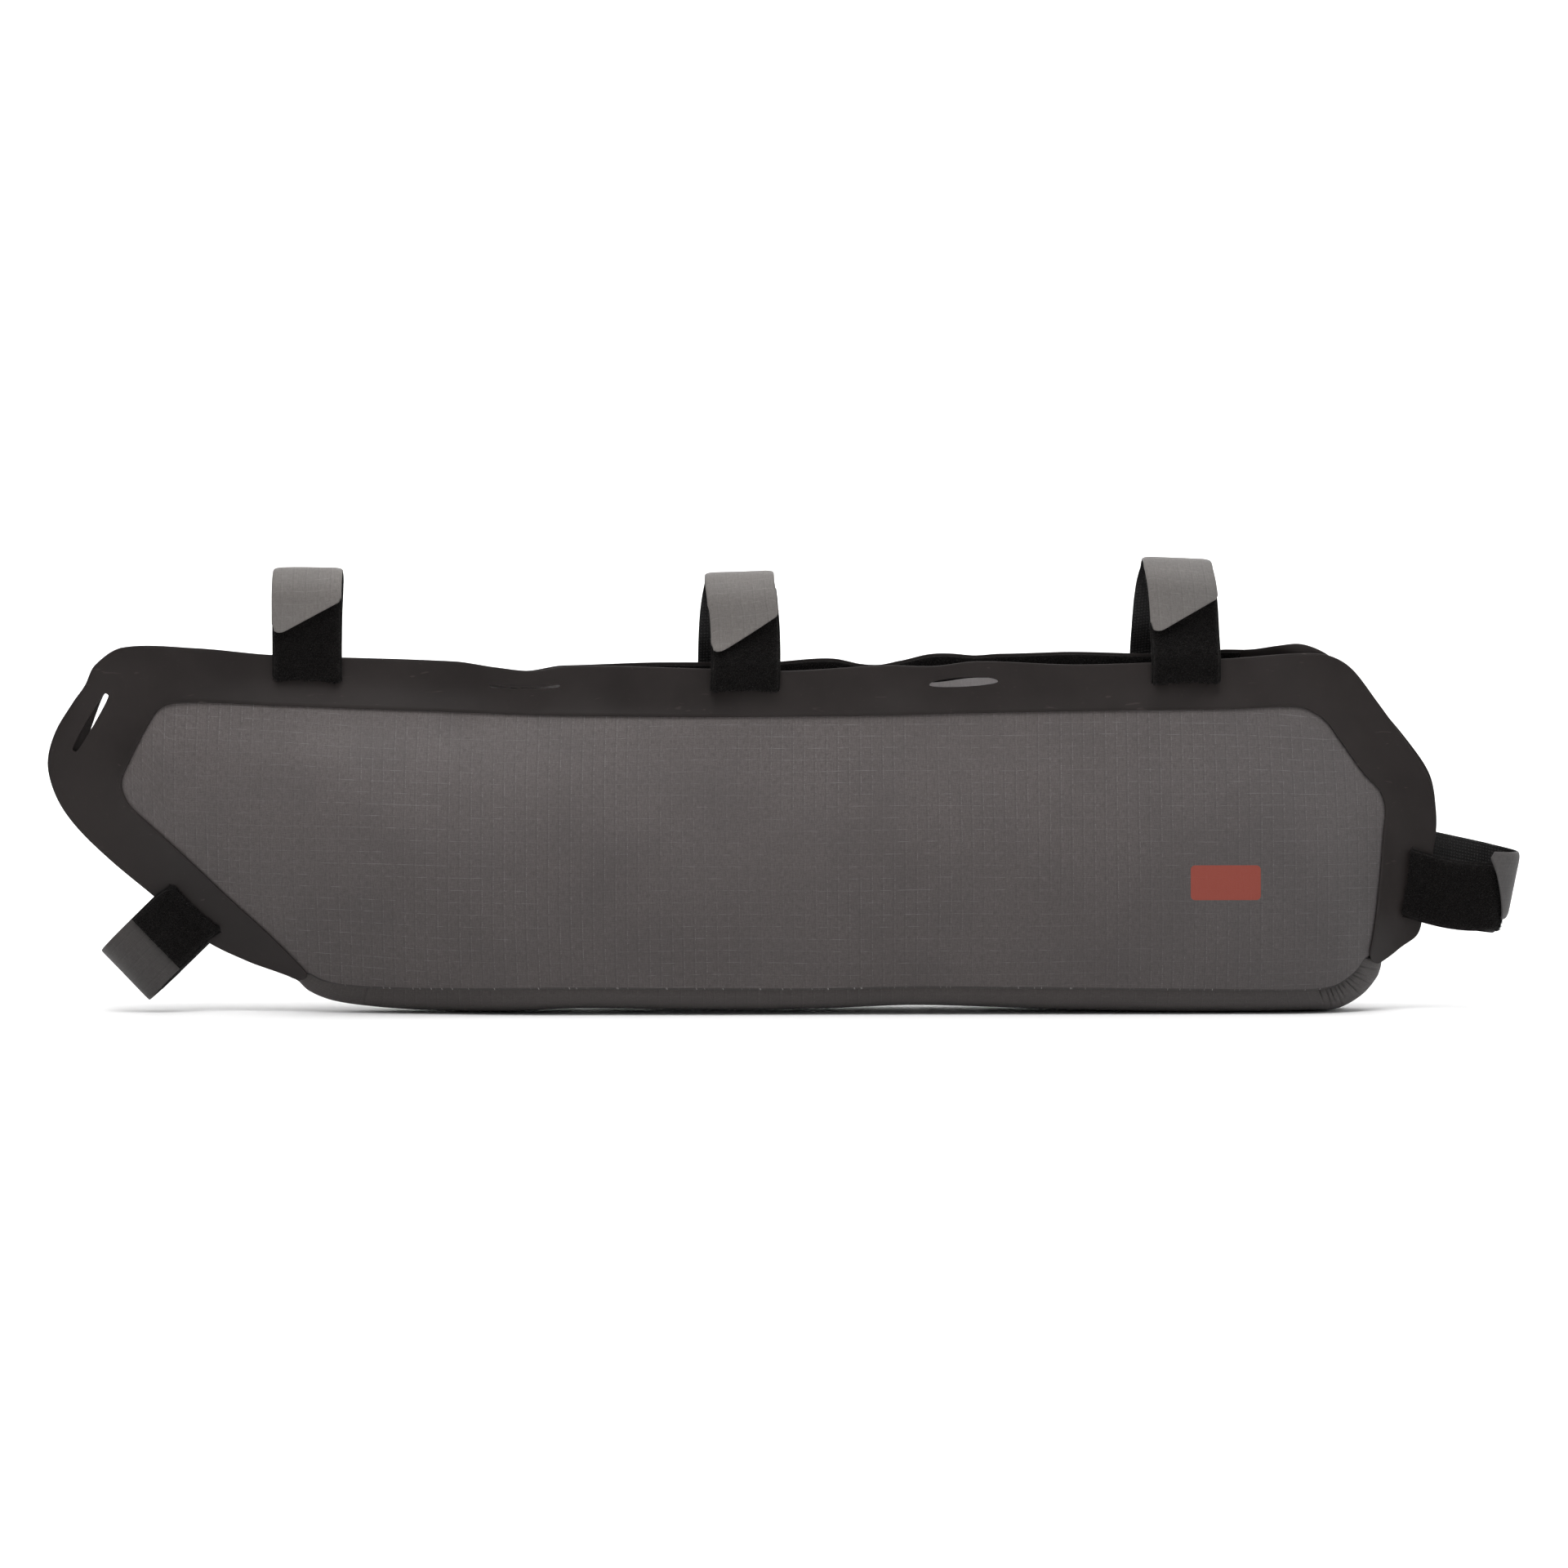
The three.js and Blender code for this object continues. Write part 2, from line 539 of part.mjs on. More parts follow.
// The panel's edge under the band: near the free edge along the mouth, and a weld margin wide elsewhere.
const panelTopFrom = band.rowDistance(13);
const panelTopTo = band.rowDistance(28);
const edgeRun = 30;
function panelEdge(distance) {
  const pair = band.at(distance);
  const width = Math.hypot(pair.second.x - pair.first.x, pair.second.z - pair.first.z);
  const mouthward = smooth((distance - panelTopFrom) / edgeRun) * smooth((panelTopTo - distance) / edgeRun);
  const reach = mix(weldMargin, width - panelInset, mouthward) / width;
  return { x: mix(pair.first.x, pair.second.x, reach), z: mix(pair.first.z, pair.second.z, reach) };
}

const edgeSamples = 120;
const seamPoint = (distance) => gusset.at(distance).first;
const leftEnd = band.rowDistance(leftTurn);
const rightEnd = band.rowDistance(rightTurn);
const panelUpper = sampleLine(panelEdge, leftEnd, rightEnd, edgeSamples);
const panelLower = [
  ...sampleLine(panelEdge, 0, leftEnd, edgeSamples).reverse(),
  ...sampleLine(seamPoint, 0, gusset.length, edgeSamples),
  ...sampleLine(panelEdge, rightEnd, band.length, edgeSamples).reverse(),
];

// Upright ribs of a panel: they share the band's stations along the mouth, so that the two lie evenly on
// each other, and stand closer together towards the ends. Two of them meet the corners of its seam.
const endInset = 1.5;
const leftSwell = 0.3;
const rightSwell = 0.86;
const widestSpacing = 1.3;
function panelRibs() {
  const overMouth = bandPairs.filter((pair) => pair.distance > mouthFrom && pair.distance < mouthTo);
  const shared = overMouth.map((pair) => pair.second.x);
  const ends = [
    [panelUpper[0].x + endInset, shared[0]],
    [shared[shared.length - 1], panelUpper[edgeSamples].x - endInset],
  ];
  const spaced = (from, to) => sampleLine((x) => x, from, to, Math.ceil((to - from) / panelEndSpacing));
  const [left, right] = ends.map(([from, to]) => spaced(from, to));
  const wide = [...left.slice(0, -1), ...shared, ...right.slice(1)];
  const swells = (x) => x < alongX(leftSwell) || x > alongX(rightSwell);
  const apart = (i) => i > 0 && wide[i] - wide[i - 1] > panelEndSpacing * widestSpacing;
  const ribs = wide.flatMap((x, i) => (swells(x) && apart(i) ? [(x + wide[i - 1]) / 2, x] : [x]));
  for (const corner of [gusset.at(0).first.x, gusset.at(gusset.length).first.x]) {
    const offs = ribs.map((x) => Math.abs(x - corner));
    ribs[offs.indexOf(Math.min(...offs))] = corner;
  }
  return ribs;
}

// One ripstop side panel.
function panelSolid(side) {
  const grid = (depth) =>
    panelRibs().map((x) => {
      const low = heightOn(panelLower, x);
      const high = heightOn(panelUpper, x);
      return panelSteps.map((t) => skin(side, x, mix(low, high, t), depth));
    });
  const topSlots = Object.keys(slots).filter((name) => name.startsWith("top"));
  return cutSlots(solidBetween(grid(panelDepth), grid(panelDepth + panelWall)), side, topSlots);
}

// The bottom gusset: margins welded inside both panels, joined by a boxy round underside.
const gatherFrom = gusset.rowDistance(gathers.from);
const gatherTo = gusset.rowDistance(gathers.to);
function gussetGrid(depth) {
  return Array.from({ length: gussetStations }, (_, i) => {
    const distance = (gusset.length * i) / (gussetStations - 1);
    const { first: seam, second: edge } = gusset.at(distance);
    const drop = Math.hypot(edge.x - seam.x, edge.z - seam.z);
    const outX = (edge.x - seam.x) / drop;
    const outZ = (edge.z - seam.z) / drop;
    const gatherShare = clamp((distance - gatherFrom) / (gatherTo - gatherFrom));
    const gathered = Math.sin(gatherShare * Math.PI * 2 * gathers.count);
    const reach = drop * (1 + gathers.depth * gathered) - depth;
    const at = (side, out) => skin(side, seam.x + outX * out, seam.z + outZ * out, gussetDepth + depth);
    const start = at(-1, 0);
    const under = gussetTurns.map((turn) => {
      const angle = radians(turn);
      const down = Math.sin(angle) ** (2 / gussetRoundness) * reach;
      const swing = Math.sign(Math.cos(angle)) * Math.abs(Math.cos(angle)) ** (2 / gussetRoundness);
      const local = at(-1, down);
      return new THREE.Vector3(local.x, Math.max(start.y, local.y) * swing, local.z);
    });
    return [at(-1, -seamMargin), ...under, at(1, -seamMargin)];
  });
}

// One strip of closure tape inside the mouth.
function tapeSolid(side) {
  const from = band.rowDistance(tapeRows.from);
  const to = band.rowDistance(tapeRows.to);
  const shared = bandPairs.filter((pair) => pair.distance > from && pair.distance < to);
  const grid = (depth) =>
    [band.at(from), ...shared, band.at(to)].map(({ first, second }) => {
      const width = Math.hypot(second.x - first.x, second.z - first.z);
      return [tapeInset + panelInset, tapeInset + panelInset + tapeWidth].map((inset) => {
        const t = inset / width;
        return skin(side, mix(second.x, first.x, t), mix(second.z, first.z, t), depth);
      });
    });
  return solidBetween(grid(tapeDepth), grid(tapeDepth + tapeWall));
}

// A strap's own frame: out is its direction, side runs across its width, and each face has its slot's
// place.
function strapFrame(strap) {
  const slot = slots[strap.name];
  const out = new THREE.Vector3(Math.cos(radians(strap.towards)), 0, Math.sin(radians(strap.towards)));
  const turn = radians(slot.turn);
  const across = new THREE.Vector3(Math.cos(turn), 0, Math.sin(turn));
  return { out, across, front: slotPlace(slot, -1), back: slotPlace(slot, 1), slot };
}

// The strap's line in its own section: away is the distance from the slot, y the depth across the bag,
// drift the sideways shift and back the share of the back slot's own shift.
function strapLines(strap) {
  const frame = strapFrame(strap);
  const { slot, out, across } = frame;
  const layers = strapWall + layerGap + pileWall + layerGap;
  const lift = strapClearance + strapWall / 2;
  const edgeAway = strap.reach * strapEdgeReach;
  const bendAway = strap.reach - strap.spread - strapWall / 2;
  const bodyAt = (side, away) => {
    const x = alongX(slot.along) + out.x * away;
    const z = upZ(slot.up) + out.z * away;
    const spots = [-0.5, -0.25, 0, 0.25, 0.5].map((share) => share * strapWidth);
    return Math.max(...spots.map((spot) => halfDepth(side, x + across.x * spot, z + across.z * spot)));
  };
  const leg = (side) => {
    const onFar = side !== strap.tabSide;
    const slotY = bodyAt(side, 0) + lift;
    const radius = Math.min(bendRadius, slotY - halfPinchGap);
    const edgeY = Math.max(bodyAt(side, edgeAway) + lift, slotY);
    const corner = [90, 60, 30, 0].map((angle) => ({
      away: radius - radius * Math.sin(radians(angle)),
      y: slotY - radius + radius * Math.cos(radians(angle)),
    }));
    const guides = [
      new THREE.Vector3(corner[3].away, corner[3].y, 0),
      new THREE.Vector3(edgeAway, edgeY, 0),
      new THREE.Vector3(mix(edgeAway, bendAway, 0.45), mix(edgeY, strap.spread, 0.8), 0),
      new THREE.Vector3(bendAway, strap.spread, 0),
    ];
    const run = new THREE.CatmullRomCurve3(guides, false, "centripetal");
    const inside = { away: 0, y: corner[0].y - crossingRun };
    const rest = legSteps.map((t) => run.getPoint(t)).map((at) => ({ away: at.x, y: at.y }));
    const skew = onFar ? strap.skew : 0;
    return [...(inside.y > 0 ? [inside] : []), ...corner, ...rest].map((point) => ({
      away: point.away,
      y: side * point.y,
      drift: strap.lean * (point.away / strap.reach) + skew * smooth(point.away / edgeAway),
      back: side > 0 ? 1 - smooth(point.away / strap.reach) * (strap.skew ? 0 : 1) : 0,
    }));
  };
  const straight = leg(strap.tabSide);
  const far = leg(-strap.tabSide);
  const bend = far[far.length - 1];
  const last = straight[straight.length - 1];
  const curl = curlAngles.map((angle) => ({
    ...last,
    away: bendAway + Math.sin(radians(angle)) * strap.spread,
    y: strap.tabSide * Math.cos(radians(angle)) * strap.spread,
  }));
  const arc = arcAngles.map((angle) => {
    const spread = strap.spread + layers * Math.min(angle / fullSpreadAngle, 1);
    return {
      away: bendAway + Math.sin(radians(angle)) * spread,
      y: -strap.tabSide * Math.cos(radians(angle)) * spread,
      drift: strap.lean + mix(bend.drift - strap.lean, strap.tabSkew, angle / 180),
      back: mix(bend.back, last.back, angle / 180),
    };
  });
  const tab = straight
    .filter((point) => point.away > edgeAway)
    .reverse()
    .map((point) => ({ ...point, y: point.y + strap.tabSide * layers, drift: point.drift + strap.tabSkew }));
  return { frame, near: [...straight, ...curl], far, arc, tab };
}

// Places a point of the strap's section in the bag: sideways is measured across the strap, which turns from
// the slot's direction to its own over turnRun, a share of its reach.
const turnRun = 0.4;
function placeOnStrap(strap, frame, point, sideways) {
  const square = new THREE.Vector3(frame.out.z, 0, -frame.out.x);
  if (square.dot(frame.across) < 0) square.negate();
  const across = frame.across.clone().lerp(square, smooth(point.away / (strap.reach * turnRun))).normalize();
  return new THREE.Vector3(
    mix(frame.front.x, frame.back.x, point.back),
    point.y,
    mix(frame.front.z, frame.back.z, point.back),
  )
    .addScaledVector(frame.out, point.away)
    .addScaledVector(across, sideways + point.drift);
}

// The points of a strap's line with the direction in which a layer is laid on it, so that its wall stays
// even.
function withOffsets(points) {
  return points.map((point, i) => {
    const before = points[Math.max(i - 1, 0)];
    const after = points[Math.min(i + 1, points.length - 1)];
    const turnIn = new THREE.Vector2(point.away - before.away, point.y - before.y);
    const turnOut = new THREE.Vector2(after.away - point.away, after.y - point.y);
    if (i === 0) turnIn.copy(turnOut);
    if (i === points.length - 1) turnOut.copy(turnIn);
    turnIn.normalize();
    turnOut.normalize();
    const middle = turnIn.clone().add(turnOut).normalize();
    const stretch = 1 / Math.max(middle.dot(turnIn), 0.5);
    return { ...point, offAway: middle.y * stretch, offY: -middle.x * stretch };
  });
}

// A ribbon between two offsets from its line: lineAt gives the line of each column, a share of the strap's
// width.
function ribbonSolid(strap, frame, lineAt, inner, outer, columns) {
  const lines = columns.map(lineAt);
  const face = (offset) =>
    lines[0].map((_, i) =>
      columns.map((column, k) => {
        const spot = lines[k][i];
        const moved = { ...spot, away: spot.away + spot.offAway * offset, y: spot.y + spot.offY * offset };
        return placeOnStrap(strap, frame, moved, (column - 0.5) * strapWidth);
      }),
    );
  return solidBetween(face(outer), face(inner));
}

// A point between two points of a line, in all their columns.
function blendPoints(a, b, t) {
  return Object.fromEntries(Object.keys(a).map((key) => [key, mix(a[key], b[key], t)]));
}

// The strap's grey strip, whose last stretch past the loop's tip is the tab with its slanted, round-
// cornered end.
function stripSolid(strap) {
  const { frame, near, far, arc, tab } = strapLines(strap);
  const columns = strap.longEdge === 0 ? strapColumns : strapColumns.map((column) => 1 - column).reverse();
  const path = withOffsets([...near.slice().reverse(), ...far, ...arc, ...tab]);
  const tipIndex = near.length + far.length + arcAngles.indexOf(90);
  const upToTip = path.slice(0, tipIndex + 1);
  const pastTip = path.slice(tipIndex);
  const lengths = [0];
  for (let i = 1; i < pastTip.length; i += 1) {
    const step = Math.hypot(pastTip[i].away - pastTip[i - 1].away, pastTip[i].y - pastTip[i - 1].y);
    lengths.push(lengths[i - 1] + step);
  }
  const pointPastTip = (length) => {
    let k = 0;
    while (k < pastTip.length - 2 && lengths[k + 1] < length) k += 1;
    return blendPoints(pastTip[k], pastTip[k + 1], (length - lengths[k]) / (lengths[k + 1] - lengths[k]));
  };
  const tabEnd = (column) => {
    const fromLong = Math.abs(column - strap.longEdge);
    const slanted = mix(strap.tabLong, strap.tabShort, fromLong);
    const inCorner = clamp(1 - (fromLong * strapWidth) / tabCorner);
    return slanted - tabCorner * (1 - Math.sqrt(1 - inCorner ** 2));
  };
  const lineAt = (column) => {
    const steps = Array.from({ length: tabSteps }, (_, i) => (tabEnd(column) * (i + 1)) / tabSteps);
    return [...upToTip, ...steps.map(pointPastTip)];
  };
  return ribbonSolid(strap, frame, lineAt, -strapWall / 2, strapWall / 2, columns);
}

// The loop pile bonded on a leg's outer face, from just past the slot to a share of the leg.
function pileSolid(strap, onTabSide) {
  const { frame, near, far } = strapLines(strap);
  const leg = withOffsets(onTabSide ? near : far);
  const start = bendRadius;
  const end = onTabSide ? strap.reach : strap.reach * plainPileReach;
  const kept = leg.filter((point) => point.away > start && point.away <= end);
  const outward = Math.sign(kept[0].y) * Math.sign(kept[0].offY);
  const inner = outward * (strapWall / 2 + layerGap);
  return ribbonSolid(strap, frame, () => kept, inner, inner + outward * pileWall, [0, 1]);
}

const bag = new THREE.Group();
bag.name = "frame_bag";
const faces = { front: -1, back: 1 };

for (const [name, side] of Object.entries(faces)) {
  bag.add(toMesh(name + "_panel", panelSolid(side), materials.ripstop));
  bag.add(toMesh(name + "_band", bandSolid(side), materials.band));
  bag.add(toMesh(name + "_closure_tape", tapeSolid(side), materials.pile));
}
bag.add(toMesh("bottom_gusset", solidBetween(gussetGrid(0), gussetGrid(gussetWall)), materials.ripstop));

for (const strap of straps) {
  const group = new THREE.Group();
  group.name = "strap_" + strap.name;
  group.add(toMesh("strap_" + strap.name, stripSolid(strap), materials.strap));
  group.add(toMesh("pile_" + strap.name + "_tab_side", pileSolid(strap, true), materials.pile));
  group.add(toMesh("pile_" + strap.name + "_plain_side", pileSolid(strap, false), materials.pile));
  bag.add(group);
}

// The origin is under the middle of the whole bag, on the surface it stands on.
const reach = new THREE.Box3().setFromObject(bag, true);
bag.position.set(-(reach.min.x + reach.max.x) / 2, -(reach.min.y + reach.max.y) / 2, -reach.min.z);

export default bag;
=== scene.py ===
"""A soft half-frame bag for a bicycle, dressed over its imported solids. Tables and lengths are millimetres."""
import math
import bmesh
import bpy
import numpy as np
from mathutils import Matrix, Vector


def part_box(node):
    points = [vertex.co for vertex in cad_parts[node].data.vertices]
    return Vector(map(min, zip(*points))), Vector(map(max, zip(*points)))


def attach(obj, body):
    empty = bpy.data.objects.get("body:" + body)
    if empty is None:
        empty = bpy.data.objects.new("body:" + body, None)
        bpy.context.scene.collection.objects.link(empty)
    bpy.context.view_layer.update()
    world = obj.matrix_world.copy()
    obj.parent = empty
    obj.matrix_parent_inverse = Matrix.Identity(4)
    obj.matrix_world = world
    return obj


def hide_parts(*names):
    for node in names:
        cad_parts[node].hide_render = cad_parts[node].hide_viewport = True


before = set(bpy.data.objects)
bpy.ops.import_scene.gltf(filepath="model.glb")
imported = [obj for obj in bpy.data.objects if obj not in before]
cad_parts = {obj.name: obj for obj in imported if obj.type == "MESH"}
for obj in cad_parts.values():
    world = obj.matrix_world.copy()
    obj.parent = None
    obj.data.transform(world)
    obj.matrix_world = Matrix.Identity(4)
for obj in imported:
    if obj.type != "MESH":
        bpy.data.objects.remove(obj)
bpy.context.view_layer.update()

# Driving dimensions, as in the part's source
BAG_LENGTH = 500.0
BAG_HEIGHT = 131.0
BAG_DEPTH = 56.0
WELD_MARGIN = 5.0
SEAM_MARGIN = 6.0
FIN_WIDTH = 7.0
TAPE_WIDTH = 3.2
TAPE_INSET = 0.4
PANEL_INSET = 1.5
STRAP_WIDTH = 25.0
FIN_HALF = 1.5
MOUTH_HALF = 5.1
STRAP_CLEARANCE = 0.5
BEND_RADIUS = 2.2
OPENING_RUN = 26.0
MOUTH_RAMP = 0.56
MOUTH_FLAT = 0.07
TUCK_HEIGHT = 0.3
TUCK_SHARE = 0.12
SOFT_START = 0.012
PLAIN_PILE_REACH = 0.6
CROSSING_RUN = 5.0
STRAP_EDGE_REACH = 0.2
GUSSET_ROUNDNESS = 3.2
# How far the whole bag is shifted so that it stands on the floor
GROUND = 0.02

# The cloth's and the film's walls as they are seen, thinner than the solids that stand in for them
FILM = 0.75
CLOTH = 0.5
LAYER = 0.08
STRIP = 0.8
PILE = 1.3
PILE_WIDTH = 23.6

# innerAlong, innerUp, outerAlong, outerUp
BAND_RIBS = [
    (0.188, 0.1, 0.181, 0.084), (0.184, 0.119, 0.172, 0.1), (0.16, 0.213, 0.142, 0.141),
    (0.13, 0.318, 0.11, 0.203), (0.101, 0.423, 0.078, 0.311), (0.078, 0.503, 0.045, 0.416),
    (0.061, 0.562, 0.02, 0.51), (0.055, 0.602, 0.006, 0.591), (0.054, 0.635, 0.0, 0.68),
    (0.058, 0.673, 0.005, 0.763), (0.069, 0.758, 0.018, 0.848), (0.078, 0.817, 0.027, 0.897),
    (0.085, 0.839, 0.034, 0.951), (0.098, 0.848, 0.054, 1.0), (0.124, 0.848, 0.107, 0.998),
    (0.166, 0.841, 0.16, 0.98), (0.295, 0.823, 0.292, 0.962), (0.321, 0.819, 0.321, 0.946),
    (0.348, 0.815, 0.348, 0.936), (0.377, 0.813, 0.377, 0.95), (0.47, 0.81, 0.47, 0.942),
    (0.53, 0.811, 0.53, 0.936), (0.601, 0.814, 0.601, 0.951), (0.635, 0.818, 0.635, 0.949),
    (0.666, 0.821, 0.666, 0.962), (0.74, 0.826, 0.74, 0.953), (0.845, 0.831, 0.845, 0.969),
    (0.888, 0.837, 0.9, 0.984), (0.903, 0.832, 0.921, 0.979), (0.917, 0.803, 0.938, 0.944),
    (0.927, 0.754, 0.956, 0.857), (0.946, 0.653, 0.984, 0.707), (0.958, 0.606, 0.996, 0.629),
    (0.962, 0.557, 1.0, 0.557), (0.96, 0.483, 1.0, 0.483), (0.957, 0.367, 0.995, 0.367),
    (0.953, 0.244, 0.99, 0.244), (0.951, 0.199, 0.986, 0.204), (0.949, 0.159, 0.974, 0.172),
    (0.9515, 0.1275, 0.962, 0.1365),
]
LEFT_TURN = 8
RIGHT_TURN = 34
MOUTH_ROWS = (14, 27)
TAPE_ROWS = (14.6, 26.6)

# seamAlong, seamUp, edgeAlong, edgeUp
GUSSET_SECTIONS = [
    (0.187, 0.108, 0.178, 0.09), (0.196, 0.089, 0.187, 0.057), (0.21, 0.076, 0.204, 0.031),
    (0.236, 0.07, 0.233, 0.015), (0.271, 0.068, 0.271, 0.006), (0.33, 0.07, 0.33, 0.004),
    (0.383, 0.072, 0.383, 0.012), (0.471, 0.07, 0.471, 0.007), (0.553, 0.069, 0.553, 0.01),
    (0.624, 0.074, 0.624, 0.019), (0.73, 0.07, 0.73, 0.006), (0.824, 0.066, 0.824, 0.0),
    (0.9, 0.064, 0.906, 0.003), (0.92, 0.071, 0.928, 0.007), (0.931, 0.091, 0.946, 0.042),
    (0.939, 0.114, 0.957, 0.088), (0.9425, 0.131, 0.96, 0.116), (0.9455, 0.147, 0.961, 0.137),
]

# fromAlong, fromUp, toAlong, toUp, ramp
PINCH_LINES = [
    (0.11, 0.195, 0.02, 0.515, 0.58), (0.003, 0.7, 0.04, 0.98, 0.5),
    (0.938, 0.944, 0.996, 0.63, 0.42), (1.0, 0.557, 0.99, 0.22, 0.34),
]
# along, gape
MOUTH_GAPE = [
    (0.0, 0.0), (0.36, 0.0), (0.46, 0.08), (0.54, 0.14), (0.68, 0.16), (0.78, 0.15), (0.88, 0.08),
    (0.93, 0.02), (1.0, 0.0),
]
# along, out, spread
FRONT_WAVES = [(0.345, 0.04, 0.03), (0.665, 0.03, 0.03), (0.6, -0.03, 0.022)]
BACK_WAVES = [(0.25, 0.03, 0.03), (0.6, -0.035, 0.028), (0.76, 0.04, 0.04)]
# along, up, out, spread, rise
FACE_DENTS = [(0.53, 0.62, -0.03, 0.05, 0.3), (0.3, 0.5, 0.025, 0.09, 0.25), (0.72, 0.4, 0.02, 0.1, 0.3)]
# along, lift or slide
BACK_EDGE_LIFT = [
    (0.0, 0.0), (0.38, 0.0), (0.45, 0.012), (0.52, 0.016), (0.557, 0.02), (0.577, 0.0145),
    (0.596, -0.0055), (0.61, -0.0095), (0.625, 0.003), (0.644, 0.0155), (0.665, 0.008), (0.681, 0.003),
    (0.7, 0.01), (0.75, 0.018), (0.82, 0.0), (0.864, 0.0), (0.885, -0.006), (0.903, 0.001),
    (0.917, 0.0075), (0.945, 0.001), (1.0, 0.0),
]
BACK_SLIDE = [(0.0, 0.0), (0.19, -0.002), (0.5, -0.0095), (0.82, -0.016), (0.9, -0.017), (1.0, 0.0)]
# up, lift
BACK_LIFT = [(0.0, 0.0), (0.14, 0.0), (0.3, 0.018), (1.0, 0.02)]
# Where along the bag the lift sets in and over how much of it, and from which height up it and the slide do
BACK_RISES_FROM = 0.3
BACK_RISES_OVER = 0.6
HIGH_FROM = 0.5

# along, up, turn
SLOTS = {
    "top_left": (0.187, 0.911, -2), "top_second": (0.3425, 0.895, 0), "top_middle": (0.5, 0.882, 0),
    "top_fourth": (0.6565, 0.902, 3), "top_right": (0.816, 0.904, 1), "left": (0.031, 0.794, 60),
    "lower_left": (0.106, 0.285, -43), "right": (0.979, 0.352, 82),
}
# Twist shifts the loop's end sideways, bow the middle of its near leg, and skew its far leg. Tilt slopes the
# loop's end, droop rounds its corners, and curl is how far the near leg bends under the tab. Lengths are
# shares of the strap's width.
STRAP_FACTS = ("towards", "reach", "spread", "twist", "tilt", "droop", "bow", "curl", "skew", "tab_skew",
               "tab_side", "long_edge", "tab_long", "tab_short", "corner")
STRAPS = {
    "top_left": (90, 1.49, 0.32, 0, 0, 0.032, 0, 48, 0, 0, -1, 0, 1.27, 0.73, 0.21),
    "top_middle": (90, 1.586, 0.4, -0.07, 0.037, 0.032, 0.02, 48, 0, 0, -1, 0, 1.55, 0.92, 0.21),
    "top_right": (90, 1.67, 0.4, -0.085, -0.04, 0.032, 0, 48, 0, 0, -1, 0, 1.44, 0.87, 0.21),
    "lower_left": (224, 1.28, 0.28, 0, 0, 0.006, 0, 48, -0.04, 0, 1, 0, 1.2, 0.84, 0.16),
    "right": (-8.0, 1.43, 0.32, 0, 0.06, 0.045, -0.076, 84, 0.21, 0.12, -1, 1, 0.74, 0.3, 0.07),
}
STRAP_BOW = 0.9
BOW_RUN = 4.0
SQUARE_SHARE = 0.4
FOLD_FROM = 0.55
FOLD_POWER = 12
SKEW_KEPT = 0.5
SHORT_CORNER = 1.3
TWIST_POWER = 3


def mix(a, b, t):
    return a + (b - a) * t


def smooth(t):
    t = np.clip(t, 0.0, 1.0)
    return t * t * (3 - 2 * t)


def between(values, knots, at):
    values = np.asarray(values, float)
    knots = np.asarray(knots, float)
    at = np.clip(np.asarray(at, float), knots[0], knots[-1])
    i = np.clip(np.searchsorted(knots, at, side="left") - 1, 0, len(knots) - 2)
    slopes = np.empty_like(values)
    slopes[1:-1] = (values[2:] - values[:-2]) / (knots[2:] - knots[:-2])
    slopes[0] = (values[1] - values[0]) / (knots[1] - knots[0])
    slopes[-1] = (values[-1] - values[-2]) / (knots[-1] - knots[-2])
    span = knots[i + 1] - knots[i]
    t = (at - knots[i]) / span
    return ((2 * t ** 3 - 3 * t ** 2 + 1) * values[i] + (t ** 3 - 2 * t ** 2 + t) * slopes[i] * span
            + (3 * t ** 2 - 2 * t ** 3) * values[i + 1] + (t ** 3 - t ** 2) * slopes[i + 1] * span)


class Outline:
    """Two paired lines that run side by side, as functions of the distance along their middle."""

    def __init__(self, rows):
        points = np.array(rows, float) * [BAG_LENGTH, BAG_HEIGHT, BAG_LENGTH, BAG_HEIGHT]
        steps = np.diff(points, axis=0)
        lengths = np.hypot(steps[:, 0] + steps[:, 2], steps[:, 1] + steps[:, 3]) / 2
        self.knots = np.concatenate([[0.0], np.cumsum(lengths)])
        self.points = points
        self.length = self.knots[-1]

    def at(self, distance):
        return tuple(between(self.points[:, k], self.knots, distance) for k in range(4))

    def row(self, row):
        return float(np.interp(row, np.arange(len(self.knots)), self.knots))


band = Outline(BAND_RIBS)
gusset = Outline(GUSSET_SECTIONS)


def band_at(distance):
    """The band at a distance: its inner line's x and z, its outer line's, and its width."""
    inner_x, inner_z, outer_x, outer_z = band.at(distance)
    return inner_x, inner_z, outer_x, outer_z, np.hypot(outer_x - inner_x, outer_z - inner_z)


def table(rows, column=1):
    places = [row[0] for row in rows]
    values = [row[column] for row in rows]
    return lambda share: between(values, places, share)


gape_at = table(MOUTH_GAPE)
edge_lift_at = table(BACK_EDGE_LIFT)
back_slide_at = table(BACK_SLIDE)
back_lift_at = table(BACK_LIFT)

mouth_distances = np.linspace(band.row(MOUTH_ROWS[0]), band.row(MOUTH_ROWS[1]), 400)
mouth_line = band.at(mouth_distances)


def mouth_edge_at(x):
    return np.interp(x, mouth_line[2], mouth_line[3])


def mouth_weld_at(x):
    return np.interp(x, mouth_line[0], mouth_line[1])


def swelling(distance, flat, ramp):
    reached = (distance - flat) / ramp
    eased = (reached + np.sqrt(reached ** 2 + SOFT_START)) / 2
    return np.sin(np.clip(eased, 0, 1) * math.pi / 2)


def bell(offset):
    return np.exp(-offset ** 2)


